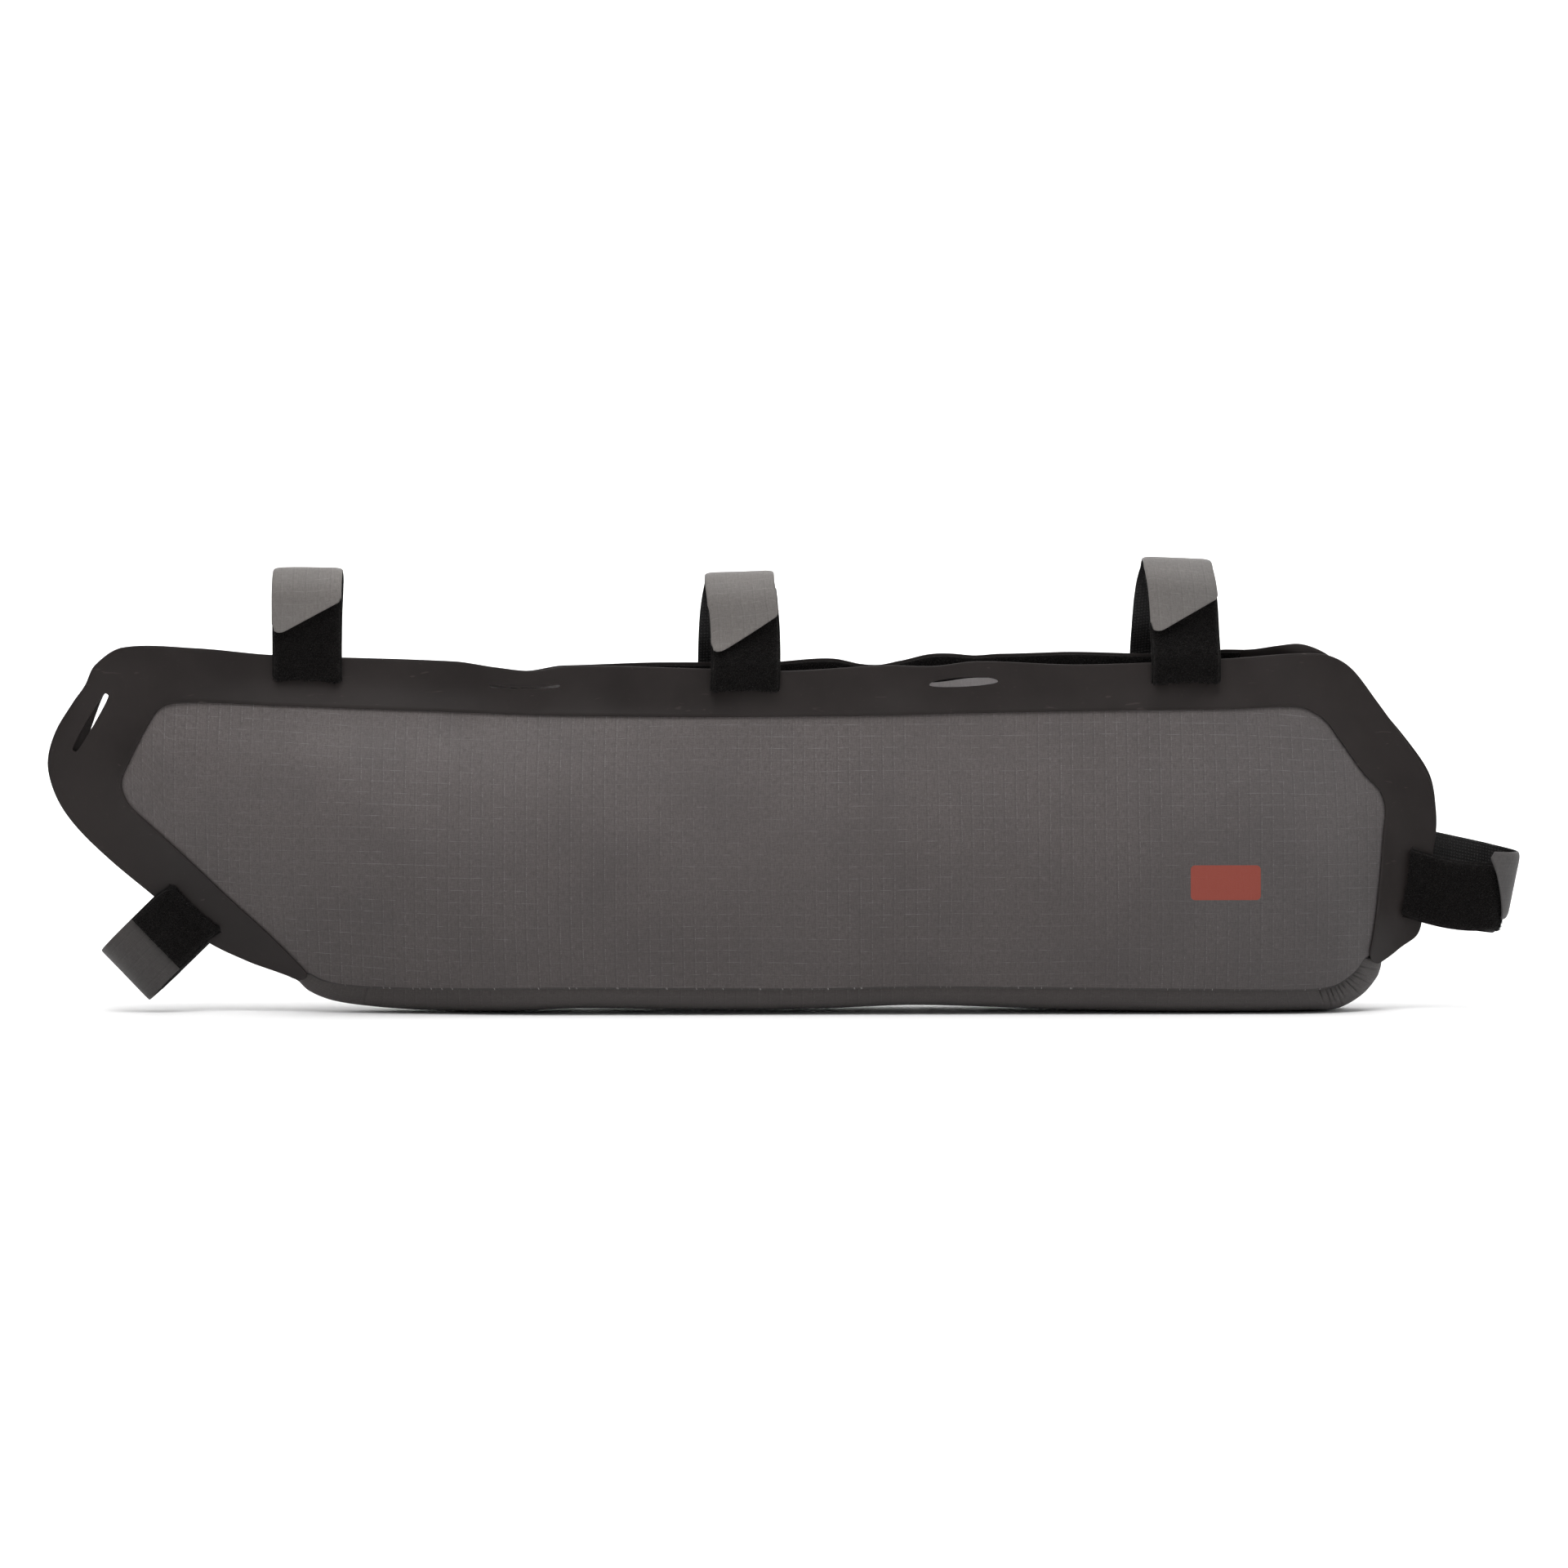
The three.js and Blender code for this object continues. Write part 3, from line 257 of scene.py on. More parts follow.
def half_depth(side, x, z):
    """Half the bag's depth at a point of the front view, as in the part's source."""
    x = np.asarray(x, float)
    z = np.asarray(z, float)
    top = mouth_edge_at(x)
    swell = np.ones_like(x + z)
    opened = np.ones_like(x + z)
    for from_along, from_up, to_along, to_up, ramp in PINCH_LINES:
        from_x, from_z = from_along * BAG_LENGTH, from_up * BAG_HEIGHT
        run_x, run_z = to_along * BAG_LENGTH - from_x, to_up * BAG_HEIGHT - from_z
        distance = (run_z * (x - from_x) - run_x * (z - from_z)) / math.hypot(run_x, run_z)
        swell = swell * swelling(distance, FIN_WIDTH, ramp * BAG_HEIGHT)
        opened = opened * smooth((distance - FIN_WIDTH) / OPENING_RUN)
    mouth = MOUTH_HALF + gape_at(x / BAG_LENGTH) * BAG_DEPTH
    rising = swelling(top - z, MOUTH_FLAT * BAG_HEIGHT, MOUTH_RAMP * BAG_HEIGHT)
    tuck = 1 - TUCK_SHARE * (1 - np.clip(z / (TUCK_HEIGHT * BAG_HEIGHT), 0, 1)) ** 2
    belly = BAG_DEPTH / 2 * tuck
    depth = FIN_HALF + (mouth - FIN_HALF) * opened + (belly - mouth) * rising * swell
    near_edge = smooth(1 - (top - z) / (top - mouth_weld_at(x)))
    for along, out, spread in (FRONT_WAVES if side < 0 else BACK_WAVES):
        depth = depth + out * BAG_DEPTH * bell((x / BAG_LENGTH - along) / spread) * near_edge * opened
    for along, up, out, spread, rise in FACE_DENTS:
        across = bell((x / BAG_LENGTH - along) / spread)
        depth = depth + (out * BAG_DEPTH * across * bell((z / BAG_HEIGHT - up) / rise)
                         * (1 - near_edge) * swell)
    return depth + creases(side, x, z, swell, near_edge, opened)


# Ridges and hollows that only the scene carries: along, up, turn, length, width, height
RIDGES = [
    (0.16, 0.72, -8, 70, 9, 0.5), (0.33, 0.8, 2, 90, 6, -0.5), (0.52, 0.79, 0, 60, 7, 0.45),
    (0.62, 0.77, -4, 70, 7, -0.4), (0.8, 0.79, 3, 80, 8, 0.4), (0.3, 0.14, 1, 90, 6, -0.5),
    (0.24, 0.26, -40, 50, 9, 0.5), (0.62, 0.15, 0, 120, 7, 0.4), (0.9, 0.22, 60, 30, 7, 0.5),
    (0.93, 0.5, 84, 50, 6, -0.4), (0.41, 0.45, 86, 60, 16, -0.35), (0.55, 0.4, 92, 60, 12, 0.3),
    (0.89, 0.72, -50, 40, 7, -0.4), (0.1, 0.62, 40, 40, 8, -0.4), (0.71, 0.2, 20, 60, 12, -0.35),
]


# The back face's ridges are the front one's, a little nearer the left end and turned
BACK_RIDGE_PLACE = 0.985
BACK_RIDGE_TURN = 6
WAVE_PHASES = {-1: 0.6, 1: 2.1}


def creases(side, x, z, swell, near_edge, opened):
    """The fine relief of a face, in millimetres."""
    total = np.zeros_like(x + z)
    flip = 1 if side < 0 else BACK_RIDGE_PLACE
    for along, up, turn, length, width, height in RIDGES:
        angle = math.radians(turn if side < 0 else -turn + BACK_RIDGE_TURN)
        dx = x - along * BAG_LENGTH * flip
        dz = z - up * BAG_HEIGHT
        run = dx * math.cos(angle) + dz * math.sin(angle)
        off = -dx * math.sin(angle) + dz * math.cos(angle)
        off = off + 0.012 * length * np.sin(run / length * 3 + along * 9)
        total = total + height * bell(run / length) * bell(off / width)
    phase = WAVE_PHASES[side]
    drift = 0.35 * np.sin(x / 31.0 + phase) * np.sin(z / 23.0 + 1.1 + phase)
    drift = drift + 0.18 * np.sin(x / 13.0 + z / 17.0 + phase * 2)
    edge_wave = 0.45 * np.sin(x / 11.0 + phase) + 0.3 * np.sin(x / 6.1 + 2.0 + phase * 3)
    return (total + drift) * (1 - near_edge) * swell + edge_wave * near_edge * opened * 0.6


def steepness(side, x, z):
    step = 0.5
    across_x = (half_depth(side, x + step, z) - half_depth(side, x - step, z)) / (2 * step)
    across_z = (half_depth(side, x, z + step) - half_depth(side, x, z - step)) / (2 * step)
    return np.sqrt(1 + across_x ** 2 + across_z ** 2)


def back_shift(x, z):
    """How far the back face lies off the front one's place, along and up."""
    right = smooth((x / BAG_LENGTH - BACK_RISES_FROM) / BACK_RISES_OVER)
    high = smooth((z / BAG_HEIGHT - HIGH_FROM) / (1 - HIGH_FROM))
    lift = back_lift_at(z / BAG_HEIGHT) * right + edge_lift_at(x / BAG_LENGTH) * high
    return back_slide_at(x / BAG_LENGTH) * BAG_LENGTH * high, lift * BAG_HEIGHT


def skin(side, x, z, depth):
    """Points of a face, depth millimetres inside the outer skin."""
    y = side * (half_depth(side, x, z) - depth * steepness(side, x, z))
    if side < 0:
        return np.stack([x, y, z], axis=-1)
    shift_x, shift_z = back_shift(x, z)
    return np.stack([x + shift_x, y, z + shift_z], axis=-1)


band_edge_x = band.at(np.linspace(0, band.length, 2000))[2]
ORIGIN = np.array([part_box("front_band")[0][0] * 1000 - band_edge_x.min(), 0.0, GROUND])


def to_world(points):
    return (np.asarray(points, float) + ORIGIN) / 1000


# Meshes
def make_object(name, points, faces, uvs=None, materials=(), indices=None, smooth_shaded=True, folds=None):
    mesh = bpy.data.meshes.new(name)
    mesh.from_pydata(to_world(points).tolist(), [], [tuple(int(v) for v in face) for face in faces])
    for material in materials:
        mesh.materials.append(material)
    if indices is not None:
        mesh.polygons.foreach_set("material_index", np.asarray(indices, dtype=np.int32))
    loops = np.empty(len(mesh.loops), dtype=np.int32)
    mesh.loops.foreach_get("vertex_index", loops)
    if uvs is not None:
        layer = mesh.uv_layers.new(name="cloth")
        layer.data.foreach_set("uv", np.asarray(uvs, float)[loops].ravel())
    if folds is not None:
        layer = mesh.uv_layers.new(name="folds")
        pairs = np.stack([np.asarray(folds, float), np.zeros(len(folds))], axis=-1)
        layer.data.foreach_set("uv", pairs[loops].ravel())
    mesh.polygons.foreach_set("use_smooth", np.full(len(mesh.polygons), smooth_shaded))
    mesh.update()
    mesh.validate()
    made = bpy.data.objects.new(name, mesh)
    bpy.context.scene.collection.objects.link(made)
    return made


def loft(rings, ring_uvs, column_material=None):
    """A tube of closed rings with flat ends: rings is stations by points by 3."""
    rings = np.asarray(rings)
    stations, count = rings.shape[:2]
    i, j = np.meshgrid(np.arange(stations - 1), np.arange(count), indexing="ij")
    k = (j + 1) % count
    quads = np.stack([i * count + j, i * count + k, (i + 1) * count + k, (i + 1) * count + j], axis=-1)
    faces = quads.reshape(-1, 4).tolist()
    indices = np.zeros(len(faces), dtype=int)
    if column_material is not None:
        indices = np.tile(np.asarray(column_material), stations - 1)
    faces.append(list(range(count))[::-1])
    faces.append([(stations - 1) * count + n for n in range(count)])
    indices = np.concatenate([indices, [0, 0]])
    return rings.reshape(-1, 3), faces, np.asarray(ring_uvs).reshape(-1, 2), indices


def sheet_ring(steps, wall, edge_steps=3):
    """A sheet's cross-section as (share of the width, millimetres from that place, depth), round-edged."""
    radius = wall / 2
    ring = [(t, 0.0, 0.0) for t in steps[1:-1]]
    turn = [math.pi * k / (edge_steps + 1) for k in range(edge_steps + 2)]
    end = [(1.0, -radius + radius * math.sin(a), radius - radius * math.cos(a)) for a in turn]
    start = [(0.0, radius - radius * math.sin(a), radius + radius * math.cos(a)) for a in turn]
    inner = [(t, 0.0, wall) for t in steps[1:-1]][::-1]
    return ring + end + inner + start


def finish_faces(piece, angle=40):
    bpy.context.view_layer.objects.active = piece
    with bpy.context.temp_override(object=piece, active_object=piece, selected_objects=[piece],
                                   selected_editable_objects=[piece]):
        bpy.ops.object.shade_smooth_by_angle(angle=math.radians(angle))


def outward(piece):
    work = bmesh.new()
    work.from_mesh(piece.data)
    bmesh.ops.recalc_face_normals(work, faces=work.faces)
    work.to_mesh(piece.data)
    work.free()


# The open slits as they are cut: half length, upper lip, lower lip, fullness of the ends, bow in the middle
OPEN_SLITS = {
    "top_left": (12.6, 1.1, 0.5, 0.8, 0.9), "top_middle": (12.6, 1.1, 0.5, 0.8, 0.9),
    "top_right": (12.6, 1.1, 0.5, 0.8, 0.9), "top_fourth": (12.3, 2.1, 1.2, 0.9, 0.0),
    "left": (11.8, 1.4, 1.4, 0.35, 0.0), "lower_left": (12.9, 0.5, 1.0, 0.8, -0.9),
    "right": (12.9, 0.5, 1.0, 0.8, -0.9),
}
# The slit whose lips sag and touch in the middle and stand a little open at both ends: half length, opening
# in the middle, opening at the ends, bow
CLOSED_SLITS = {"top_second": (12.6, 0.12, 1.5, -0.9)}
# The open top slit without a strap is nearly closed on the back face
BACK_LIPS = {"top_fourth": (0.5, 0.5)}
# On the back face some slits lie otherwise: shift along x and z, and turn
BACK_SLITS = {"left": (1.9, -0.9, 11), "top_second": (0.0, -5.0, 0), "top_fourth": (0.0, -7.5, 0),
              "top_right": (2.2, 0.0, 0)}
FACES = {-1: "front", 1: "back"}
SLIT_STEPS = 33
CUTTER_NEAR = 0.01
CUTTER_FAR = 40.0


def slot_place(name, side):
    """Where a slot lies on a face and how it is turned: x, z, turn."""
    along, up, turn = SLOTS[name]
    x, z = along * BAG_LENGTH, up * BAG_HEIGHT
    if side < 0:
        return x, z, turn
    shift_x, shift_z = back_shift(np.array(x), np.array(z))
    more_x, more_z, more_turn = BACK_SLITS.get(name, (0.0, 0.0, 0))
    return x + float(shift_x) + more_x, z + float(shift_z) + more_z, turn + more_turn


def slit_lips(name, side):
    """A slit's outline before it is turned: the run along it, and its upper and its lower lip."""
    share = np.sin(np.linspace(-1, 1, SLIT_STEPS) * math.pi / 2)
    round_end = np.clip(1 - share ** 2, 0, 1)
    if name in CLOSED_SLITS:
        half_length, middle_opening, end_opening, bow = CLOSED_SLITS[name]
        upper = (middle_opening + end_opening * share ** 4) * np.sqrt(round_end)
        lower = upper
    else:
        half_length, upper_lip, lower_lip, fullness, bow = OPEN_SLITS[name]
        if side > 0:
            upper_lip, lower_lip = BACK_LIPS.get(name, (upper_lip, lower_lip))
        swell = round_end ** (0.5 * fullness + 0.02)
        upper, lower = upper_lip * swell, lower_lip * swell
    centre = bow * (1 - share ** 2)
    return share * half_length, centre + upper, centre - lower


def slit_cutter(name, side):
    """The two ends of the prism that cuts a slit."""
    x0, z0, turn = slot_place(name, side)
    run, top, bottom = slit_lips(name, side)
    run = np.concatenate([run, run[::-1][1:-1]])
    rise = np.concatenate([top, bottom[::-1][1:-1]])
    angle = math.radians(turn)
    x = x0 + run * math.cos(angle) - rise * math.sin(angle)
    z = z0 + run * math.sin(angle) + rise * math.cos(angle)
    near = np.stack([x, np.full_like(x, CUTTER_NEAR * side), z], axis=-1)
    far = np.stack([x, np.full_like(x, CUTTER_FAR * side), z], axis=-1)
    return near, far


def cut_slits(piece, side, names):
    points, faces = [], []
    for name in names:
        near, far = slit_cutter(name, side)
        base = len(points)
        count = len(near)
        points += near.tolist() + far.tolist()
        faces += [[base + k, base + (k + 1) % count, base + count + (k + 1) % count, base + count + k]
                  for k in range(count)]
        faces.append([base + k for k in range(count)][::-1])
        faces.append([base + count + k for k in range(count)])
    cutter = make_object("cutter", points, faces, smooth_shaded=False)
    outward(cutter)
    change = piece.modifiers.new("slits", "BOOLEAN")
    change.operation = "DIFFERENCE"
    change.solver = "EXACT"
    change.object = cutter
    bake_modifiers(piece)
    bpy.data.objects.remove(cutter)


def bake_modifiers(piece):
    graph = bpy.context.evaluated_depsgraph_get()
    graph.update()
    baked = bpy.data.meshes.new_from_object(piece.evaluated_get(graph), preserve_all_data_layers=True,
                                            depsgraph=graph)
    old = piece.data
    piece.modifiers.clear()
    piece.data = baked
    bpy.data.meshes.remove(old)


def make_piece(name, made, materials, node, cuts=(), side=0, angle=40, folds=None):
    """A visual piece from a loft, cut and shaded, which replaces its CAD node."""
    points, faces, uvs, indices = made
    piece = make_object(name, points, faces, uvs, materials, indices, folds=folds)
    outward(piece)
    if cuts:
        cut_slits(piece, side, cuts)
    finish_faces(piece, angle)
    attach(piece, "root")
    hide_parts(node)
    return piece


# Materials
def shade(colour, red, green=None, blue=None):
    """A colour with each part scaled by its own share, or all by the first."""
    shares = (red, green or red, blue or red)
    return tuple(part * share for part, share in zip(colour, shares))


class Graph:
    """Short hands for building a material's node tree."""

    def __init__(self, name):
        self.material = bpy.data.materials.new(name)
        self.material.use_nodes = True
        self.nodes = self.material.node_tree.nodes
        self.links = self.material.node_tree.links
        self.shader = self.nodes["Principled BSDF"]

    def feed(self, value, socket):
        """Gives a socket a number, a vector or a colour, or links an output to it."""
        if isinstance(value, (int, float)):
            socket.default_value = value
        elif isinstance(value, tuple):
            socket.default_value = value if socket.type == "VECTOR" else (*value, 1.0)
        else:
            self.links.new(value, socket)

    def node(self, kind, values, **settings):
        """A new node's outputs, with its settings made first and its inputs fed by name or number."""
        made = self.nodes.new("ShaderNode" + kind)
        for setting, value in settings.items():
            setattr(made, setting, value)
        for socket, value in values.items():
            self.feed(value, made.inputs[socket])
        return made.outputs

    def coordinates(self, kind="cloth"):
        if kind == "object":
            return self.node("TexCoord", {})["Object"]
        return self.node("UVMap", {}, uv_map=kind)["UV"]

    def split(self, vector):
        return tuple(self.node("SeparateXYZ", {0: vector}))

    def noise(self, vector, scale, detail=2.0, roughness=0.5, distortion=0.0):
        values = {"Vector": vector, "Scale": scale, "Detail": detail, "Roughness": roughness,
                  "Distortion": distortion}
        return self.node("TexNoise", values)["Fac"]

    def streaks(self, vector, stretch, shift=(0, 0, 0), detail=2.0, roughness=0.6, distortion=0.0, scale=1.0):
        """Noise with a scale of its own each way."""
        drawn = self.node("Mapping", {"Vector": vector, "Scale": stretch, "Location": shift})[0]
        return self.noise(drawn, scale, detail, roughness, distortion)

    def math(self, operation, a, b=0.0):
        return self.node("Math", {0: a, 1: b}, operation=operation)[0]

    def times(self, a, b):
        return self.math("MULTIPLY", a, b)

    def plus(self, a, b):
        return self.math("ADD", a, b)

    def ramp(self, value, low, high, out_low=0.0, out_high=1.0, style="SMOOTHSTEP"):
        values = {"Value": value, "From Min": low, "From Max": high, "To Min": out_low, "To Max": out_high}
        return self.node("MapRange", values, interpolation_type=style)["Result"]

    def blend(self, factor, a, b):
        return self.node("Mix", {"Factor": factor, "A": a, "B": b}, data_type="RGBA")["Result"]

    def bump(self, height, strength, distance):
        normal = self.node("Bump", {"Strength": strength, "Distance": distance, "Height": height})["Normal"]
        self.feed(normal, self.shader.inputs["Normal"])

    def finish(self, body, rough, specular=0.5, sheen=0.0, sheen_rough=0.5):
        """Feeds the shader and gives the material."""
        values = {"Base Color": body, "Roughness": rough, "Specular IOR Level": specular,
                  "Sheen Weight": sheen, "Sheen Roughness": sheen_rough}
        for socket, value in values.items():
            self.feed(value, self.shader.inputs[socket])
        return self.material


def line_mask(graph, value, pitch, width):
    """One near every multiple of pitch, falling to nothing width millimetres away."""
    distance = graph.math("PINGPONG", value, pitch / 2)
    return graph.ramp(distance, 0.0, width, 1.0, 0.0)


WEAVE_PITCH = 0.42
CLOTH_DARK = (0.0670, 0.0575, 0.0565)
CLOTH_LIGHT = (0.1330, 0.1160, 0.1137)
CLOTH_LINE = (0.25, 0.24, 0.24)
PILE_DARK = (0.0020, 0.0015, 0.0014)
PRINT_RED = (0.27, 0.048, 0.030)
PRINT_COVER = 0.86
# The plain printed bar on the front panel: its middle, half size, corner and soft edge, in metres
BAR_MIDDLE = (0.1556, 0.0472)
BAR_HALF = (0.0125, 0.0062)
BAR_CORNER = 0.0016
BAR_EDGE = 0.0001
# In metres: the heights between which painted shade darkens the cloth towards the floor, and the places between
# which it cools towards the tall end, with how much
SHADED_FROM = 0.112
SHADED_TO = 0.012
LOW_SHADE = 0.32
COOLED_FROM = 0.08
COOLED_TO = 0.22
COOLING = 0.18


def woven_threads(graph, cloth):
    """The weave's own grain: short streaks both ways, a finer speckle and slubs."""
    warp = graph.streaks(cloth, (2.7, 0.42, 1))
    weft = graph.streaks(cloth, (0.42, 2.9, 1), (31, 7, 0))
    slub = graph.streaks(cloth, (1.5, 0.5, 1), (13, 2, 0))
    grain = graph.noise(cloth, 3.1, 2.0, 0.7)
    threads = graph.plus(graph.times(warp, 0.5), graph.times(weft, 0.5))
    threads = graph.plus(graph.times(threads, 0.5), graph.times(grain, 0.35))
    return graph.plus(threads, graph.times(slub, 0.15))


def thick_threads(graph, cloth, pitch):
    """The thicker threads, lit in dashes of painted highlight, and the painted shade of the furrow beside each
    upright one.
    """
    u, v, _ = graph.split(cloth)
    wander = graph.noise(cloth, 0.02, 0.0)
    v_line = graph.plus(v, graph.times(wander, 1.6))
    u_line = graph.plus(u, graph.times(wander, 1.2))
    across = line_mask(graph, v_line, pitch[1], 0.18)
    upright = line_mask(graph, u_line, pitch[0], 0.24)
    across_dashes = graph.ramp(graph.streaks(cloth, (0.22, 0.9, 1), (3, 11, 0)), 0.4, 0.66)
    upright_dashes = graph.ramp(graph.streaks(cloth, (0.9, 0.7, 1), (5, 1, 0), roughness=0.7), 0.42, 0.62)
    dots = graph.ramp(graph.math("PINGPONG", v, 0.36), 0.08, 0.3, 1.0, 0.25)
    # Both kinds of dashes show more in some areas than in others.
    across_area = graph.ramp(graph.noise(cloth, 0.012, 1.0), 0.36, 0.62, 0.35, 0.9)
    upright_cloud = graph.streaks(cloth, (0.014, 0.02, 1), (9, 4, 0), 1.0, 0.5)
    upright_area = graph.ramp(upright_cloud, 0.36, 0.6, 0.4, 1.0)
    across_lines = graph.times(graph.times(across, across_dashes), across_area)
    upright_lines = graph.times(graph.times(upright, graph.times(upright_dashes, dots)), upright_area)
    beside = line_mask(graph, graph.plus(u_line, 0.55), pitch[0], 0.4)
    return graph.math("MAXIMUM", across_lines, upright_lines), graph.times(beside, upright_area)


def low_shade_and_tall_end_tint(graph, body, dark):
    """Painted shade darkens the cloth a little low down, where the light from above falls off; towards the tall
    end the cloth is made darker and cooler.
    """
    along, _, height_above_floor = graph.split(graph.coordinates("object"))
    # Painted shade, darkest towards the floor.
    low_down = graph.ramp(height_above_floor, SHADED_TO, SHADED_FROM, LOW_SHADE, 0.0)
    body = graph.blend(low_down, body, shade(dark, 0.4))
    tall_end = graph.ramp(along, COOLED_FROM, COOLED_TO, 0.0, COOLING)
    return graph.blend(tall_end, body, shade(dark, 0.75, 0.94, 1.05))


def bar_mask(graph):
    """One inside the printed bar, on the front face alone."""
    x, y, z = graph.split(graph.coordinates("object"))
    squares = []
    for value, middle, half in zip((x, z), BAR_MIDDLE, BAR_HALF):
        off = graph.math("ABSOLUTE", graph.math("SUBTRACT", value, middle))
        past = graph.math("MAXIMUM", graph.math("SUBTRACT", off, half - BAR_CORNER), 0.0)
        squares.append(graph.times(past, past))
    distance = graph.math("SQRT", graph.plus(*squares))
    inside = graph.ramp(distance, BAR_CORNER - BAR_EDGE, BAR_CORNER + BAR_EDGE, 1.0, 0.0)
    return graph.times(inside, graph.math("LESS_THAN", y, 0.0))


def ripstop(name, dark, light, line, pitch=(3.95, 4.3), line_strength=0.5, rough=0.62, printed=False,
            folds=False):
    """Coated plain weave with a thicker thread every few millimetres each way."""
    graph = Graph(name)
    cloth = graph.coordinates()
    threads = woven_threads(graph, cloth)
    lines, furrow = thick_threads(graph, cloth, pitch)
    mottle = graph.noise(cloth, 0.028, 3.0, 0.55)
    tint = graph.streaks(cloth, (1, 1, 1), (50, 20, 0), 2.0, 0.5, scale=0.05)
    body = graph.blend(graph.ramp(threads, 0.38, 0.64, style="LINEAR"), dark, light)
    body = graph.blend(graph.ramp(mottle, 0.35, 0.75, 0.0, 0.3), body, shade(dark, 0.9))
    body = graph.blend(graph.ramp(tint, 0.42, 0.7, 0.0, 0.15), body, shade(dark, 1.0, 1.07, 1.12))
    # Painted shade in the furrow beside each upright thick thread, then the thick threads' painted highlights.
    body = graph.blend(graph.times(furrow, 0.22), body, shade(dark, 0.55))
    body = graph.blend(graph.times(lines, line_strength), body, line)
    body = low_shade_and_tall_end_tint(graph, body, dark)
    # Painted shade in the gusset's creases and right under the seam.
    if folds:
        deep, _, _ = graph.split(graph.coordinates("folds"))
        body = graph.blend(graph.ramp(deep, 0.12, 0.9, 0.0, 0.65), body, shade(dark, 0.3))
    if printed:
        body = graph.blend(graph.times(bar_mask(graph), PRINT_COVER), body, PRINT_RED)
    waves = [graph.math("SINE", graph.times(run, 2 * math.pi / WEAVE_PITCH))
             for run in graph.split(cloth)[:2]]
    height = graph.plus(graph.times(threads, 0.9), graph.times(graph.times(*waves), 0.12))
    graph.bump(graph.plus(height, graph.times(lines, 0.35)), 0.3, 0.0002)
    rough_map = graph.ramp(threads, 0.3, 0.7, rough + 0.08, rough - 0.08)
    return graph.finish(body, rough_map, 0.25, 0.06, 0.6)


def film(name, dark, light):
    """Matt rubbery film with faint scuffs, dust and a pebbled skin."""
    graph = Graph(name)
    place = graph.coordinates("object")
    cloud = graph.noise(place, 22.0, 4.0, 0.55)
    dust = graph.ramp(graph.noise(place, 900.0, 2.0, 0.6), 0.62, 0.8)
    scratch = graph.ramp(graph.streaks(place, (95, 95, 420), (2, 5, 1), 1.0, 0.5, 1.5), 0.72, 0.78)
    body = graph.blend(graph.ramp(cloud, 0.35, 0.7), dark, light)
    body = graph.blend(graph.times(dust, 0.1), body, shade(light, 3.2))
    body = graph.blend(graph.times(scratch, 0.3), body, shade(light, 3.0))
    pebble = graph.noise(place, 2400.0, 2.0, 0.6)
    streak = graph.streaks(place, (60, 60, 900))
    graph.bump(graph.plus(graph.times(pebble, 0.6), graph.times(streak, 0.4)), 0.16, 0.0001)
    rough = graph.ramp(cloud, 0.3, 0.75, 0.46, 0.62)
    return graph.finish(body, graph.math("SUBTRACT", rough, graph.times(scratch, 0.08)), 0.2)


def plush(name, light, sheen):
    """Short black pile."""
    graph = Graph(name)
    place = graph.coordinates("object")
    tuft = graph.noise(place, 1400.0, 3.0, 0.65)
    patch = graph.noise(place, 150.0)
    body = graph.blend(graph.ramp(tuft, 0.4, 0.68), PILE_DARK, light)
    body = graph.blend(graph.ramp(patch, 0.4, 0.8, 0.0, 0.5), body, PILE_DARK)
    graph.bump(tuft, 0.7, 0.0005)
    return graph.finish(body, graph.ramp(tuft, 0.3, 0.7, 0.96, 0.82), 0.2, sheen)


def hooks(name):
    """The strap's inner face: rows of small moulded hooks."""
    graph = Graph(name)
    cloth = graph.coordinates()
    dots = graph.times(*[line_mask(graph, run, 1.1, 0.42) for run in graph.split(cloth)[:2]])
    speck = graph.noise(cloth, 1.5, 2.0, 0.6)
    body = graph.blend(graph.times(dots, speck), (0.008, 0.0075, 0.0075), (0.04, 0.038, 0.037))
    graph.bump(dots, 0.8, 0.0004)
    return graph.finish(body, graph.ramp(speck, 0.3, 0.7, 0.72, 0.55), 0.35)


def seam_edge(name):
    """The panel's edge along the seam: a dark line with a few light dashes, and painted shade that makes it
    darkest at the gathers.
    """
    graph = Graph(name)
    cloth = graph.coordinates()
    dashes = graph.ramp(graph.streaks(cloth, (0.75, 0.0, 1), detail=3.0), 0.55, 0.66)
    body = graph.blend(dashes, (0.038, 0.033, 0.032), (0.185, 0.172, 0.168))
    along = graph.split(cloth)[0]
    # Painted shade at the gathers of the right corner and at the tucks of the left end.
    ends = graph.math("MAXIMUM", graph.ramp(along, 452.0, 462.0), graph.ramp(along, 104.0, 96.0))
    body = graph.blend(ends, body, (0.018, 0.0155, 0.015))
    return graph.finish(body, 0.8)


panel_cloth = ripstop("panel_ripstop", CLOTH_DARK, CLOTH_LIGHT, CLOTH_LINE, printed=True)
# The gusset's cloth is a darker copy of the panel's: painted shade on the bag's downward-facing bottom.
gusset_cloth = ripstop("gusset_ripstop", (0.048, 0.0405, 0.039), (0.090, 0.078, 0.0752), CLOTH_LINE,
                       line_strength=0.25, folds=True)
inner_coat = ripstop("inner_coating", (0.46, 0.43, 0.43), (0.58, 0.55, 0.55), (0.66, 0.64, 0.64),
                     line_strength=0.3, rough=0.5)
tab_cloth = ripstop("tab_ripstop", (0.120, 0.110, 0.1035), (0.192, 0.1775, 0.168), (0.30, 0.285, 0.275),
                    pitch=(4.4, 4.6), line_strength=0.4)
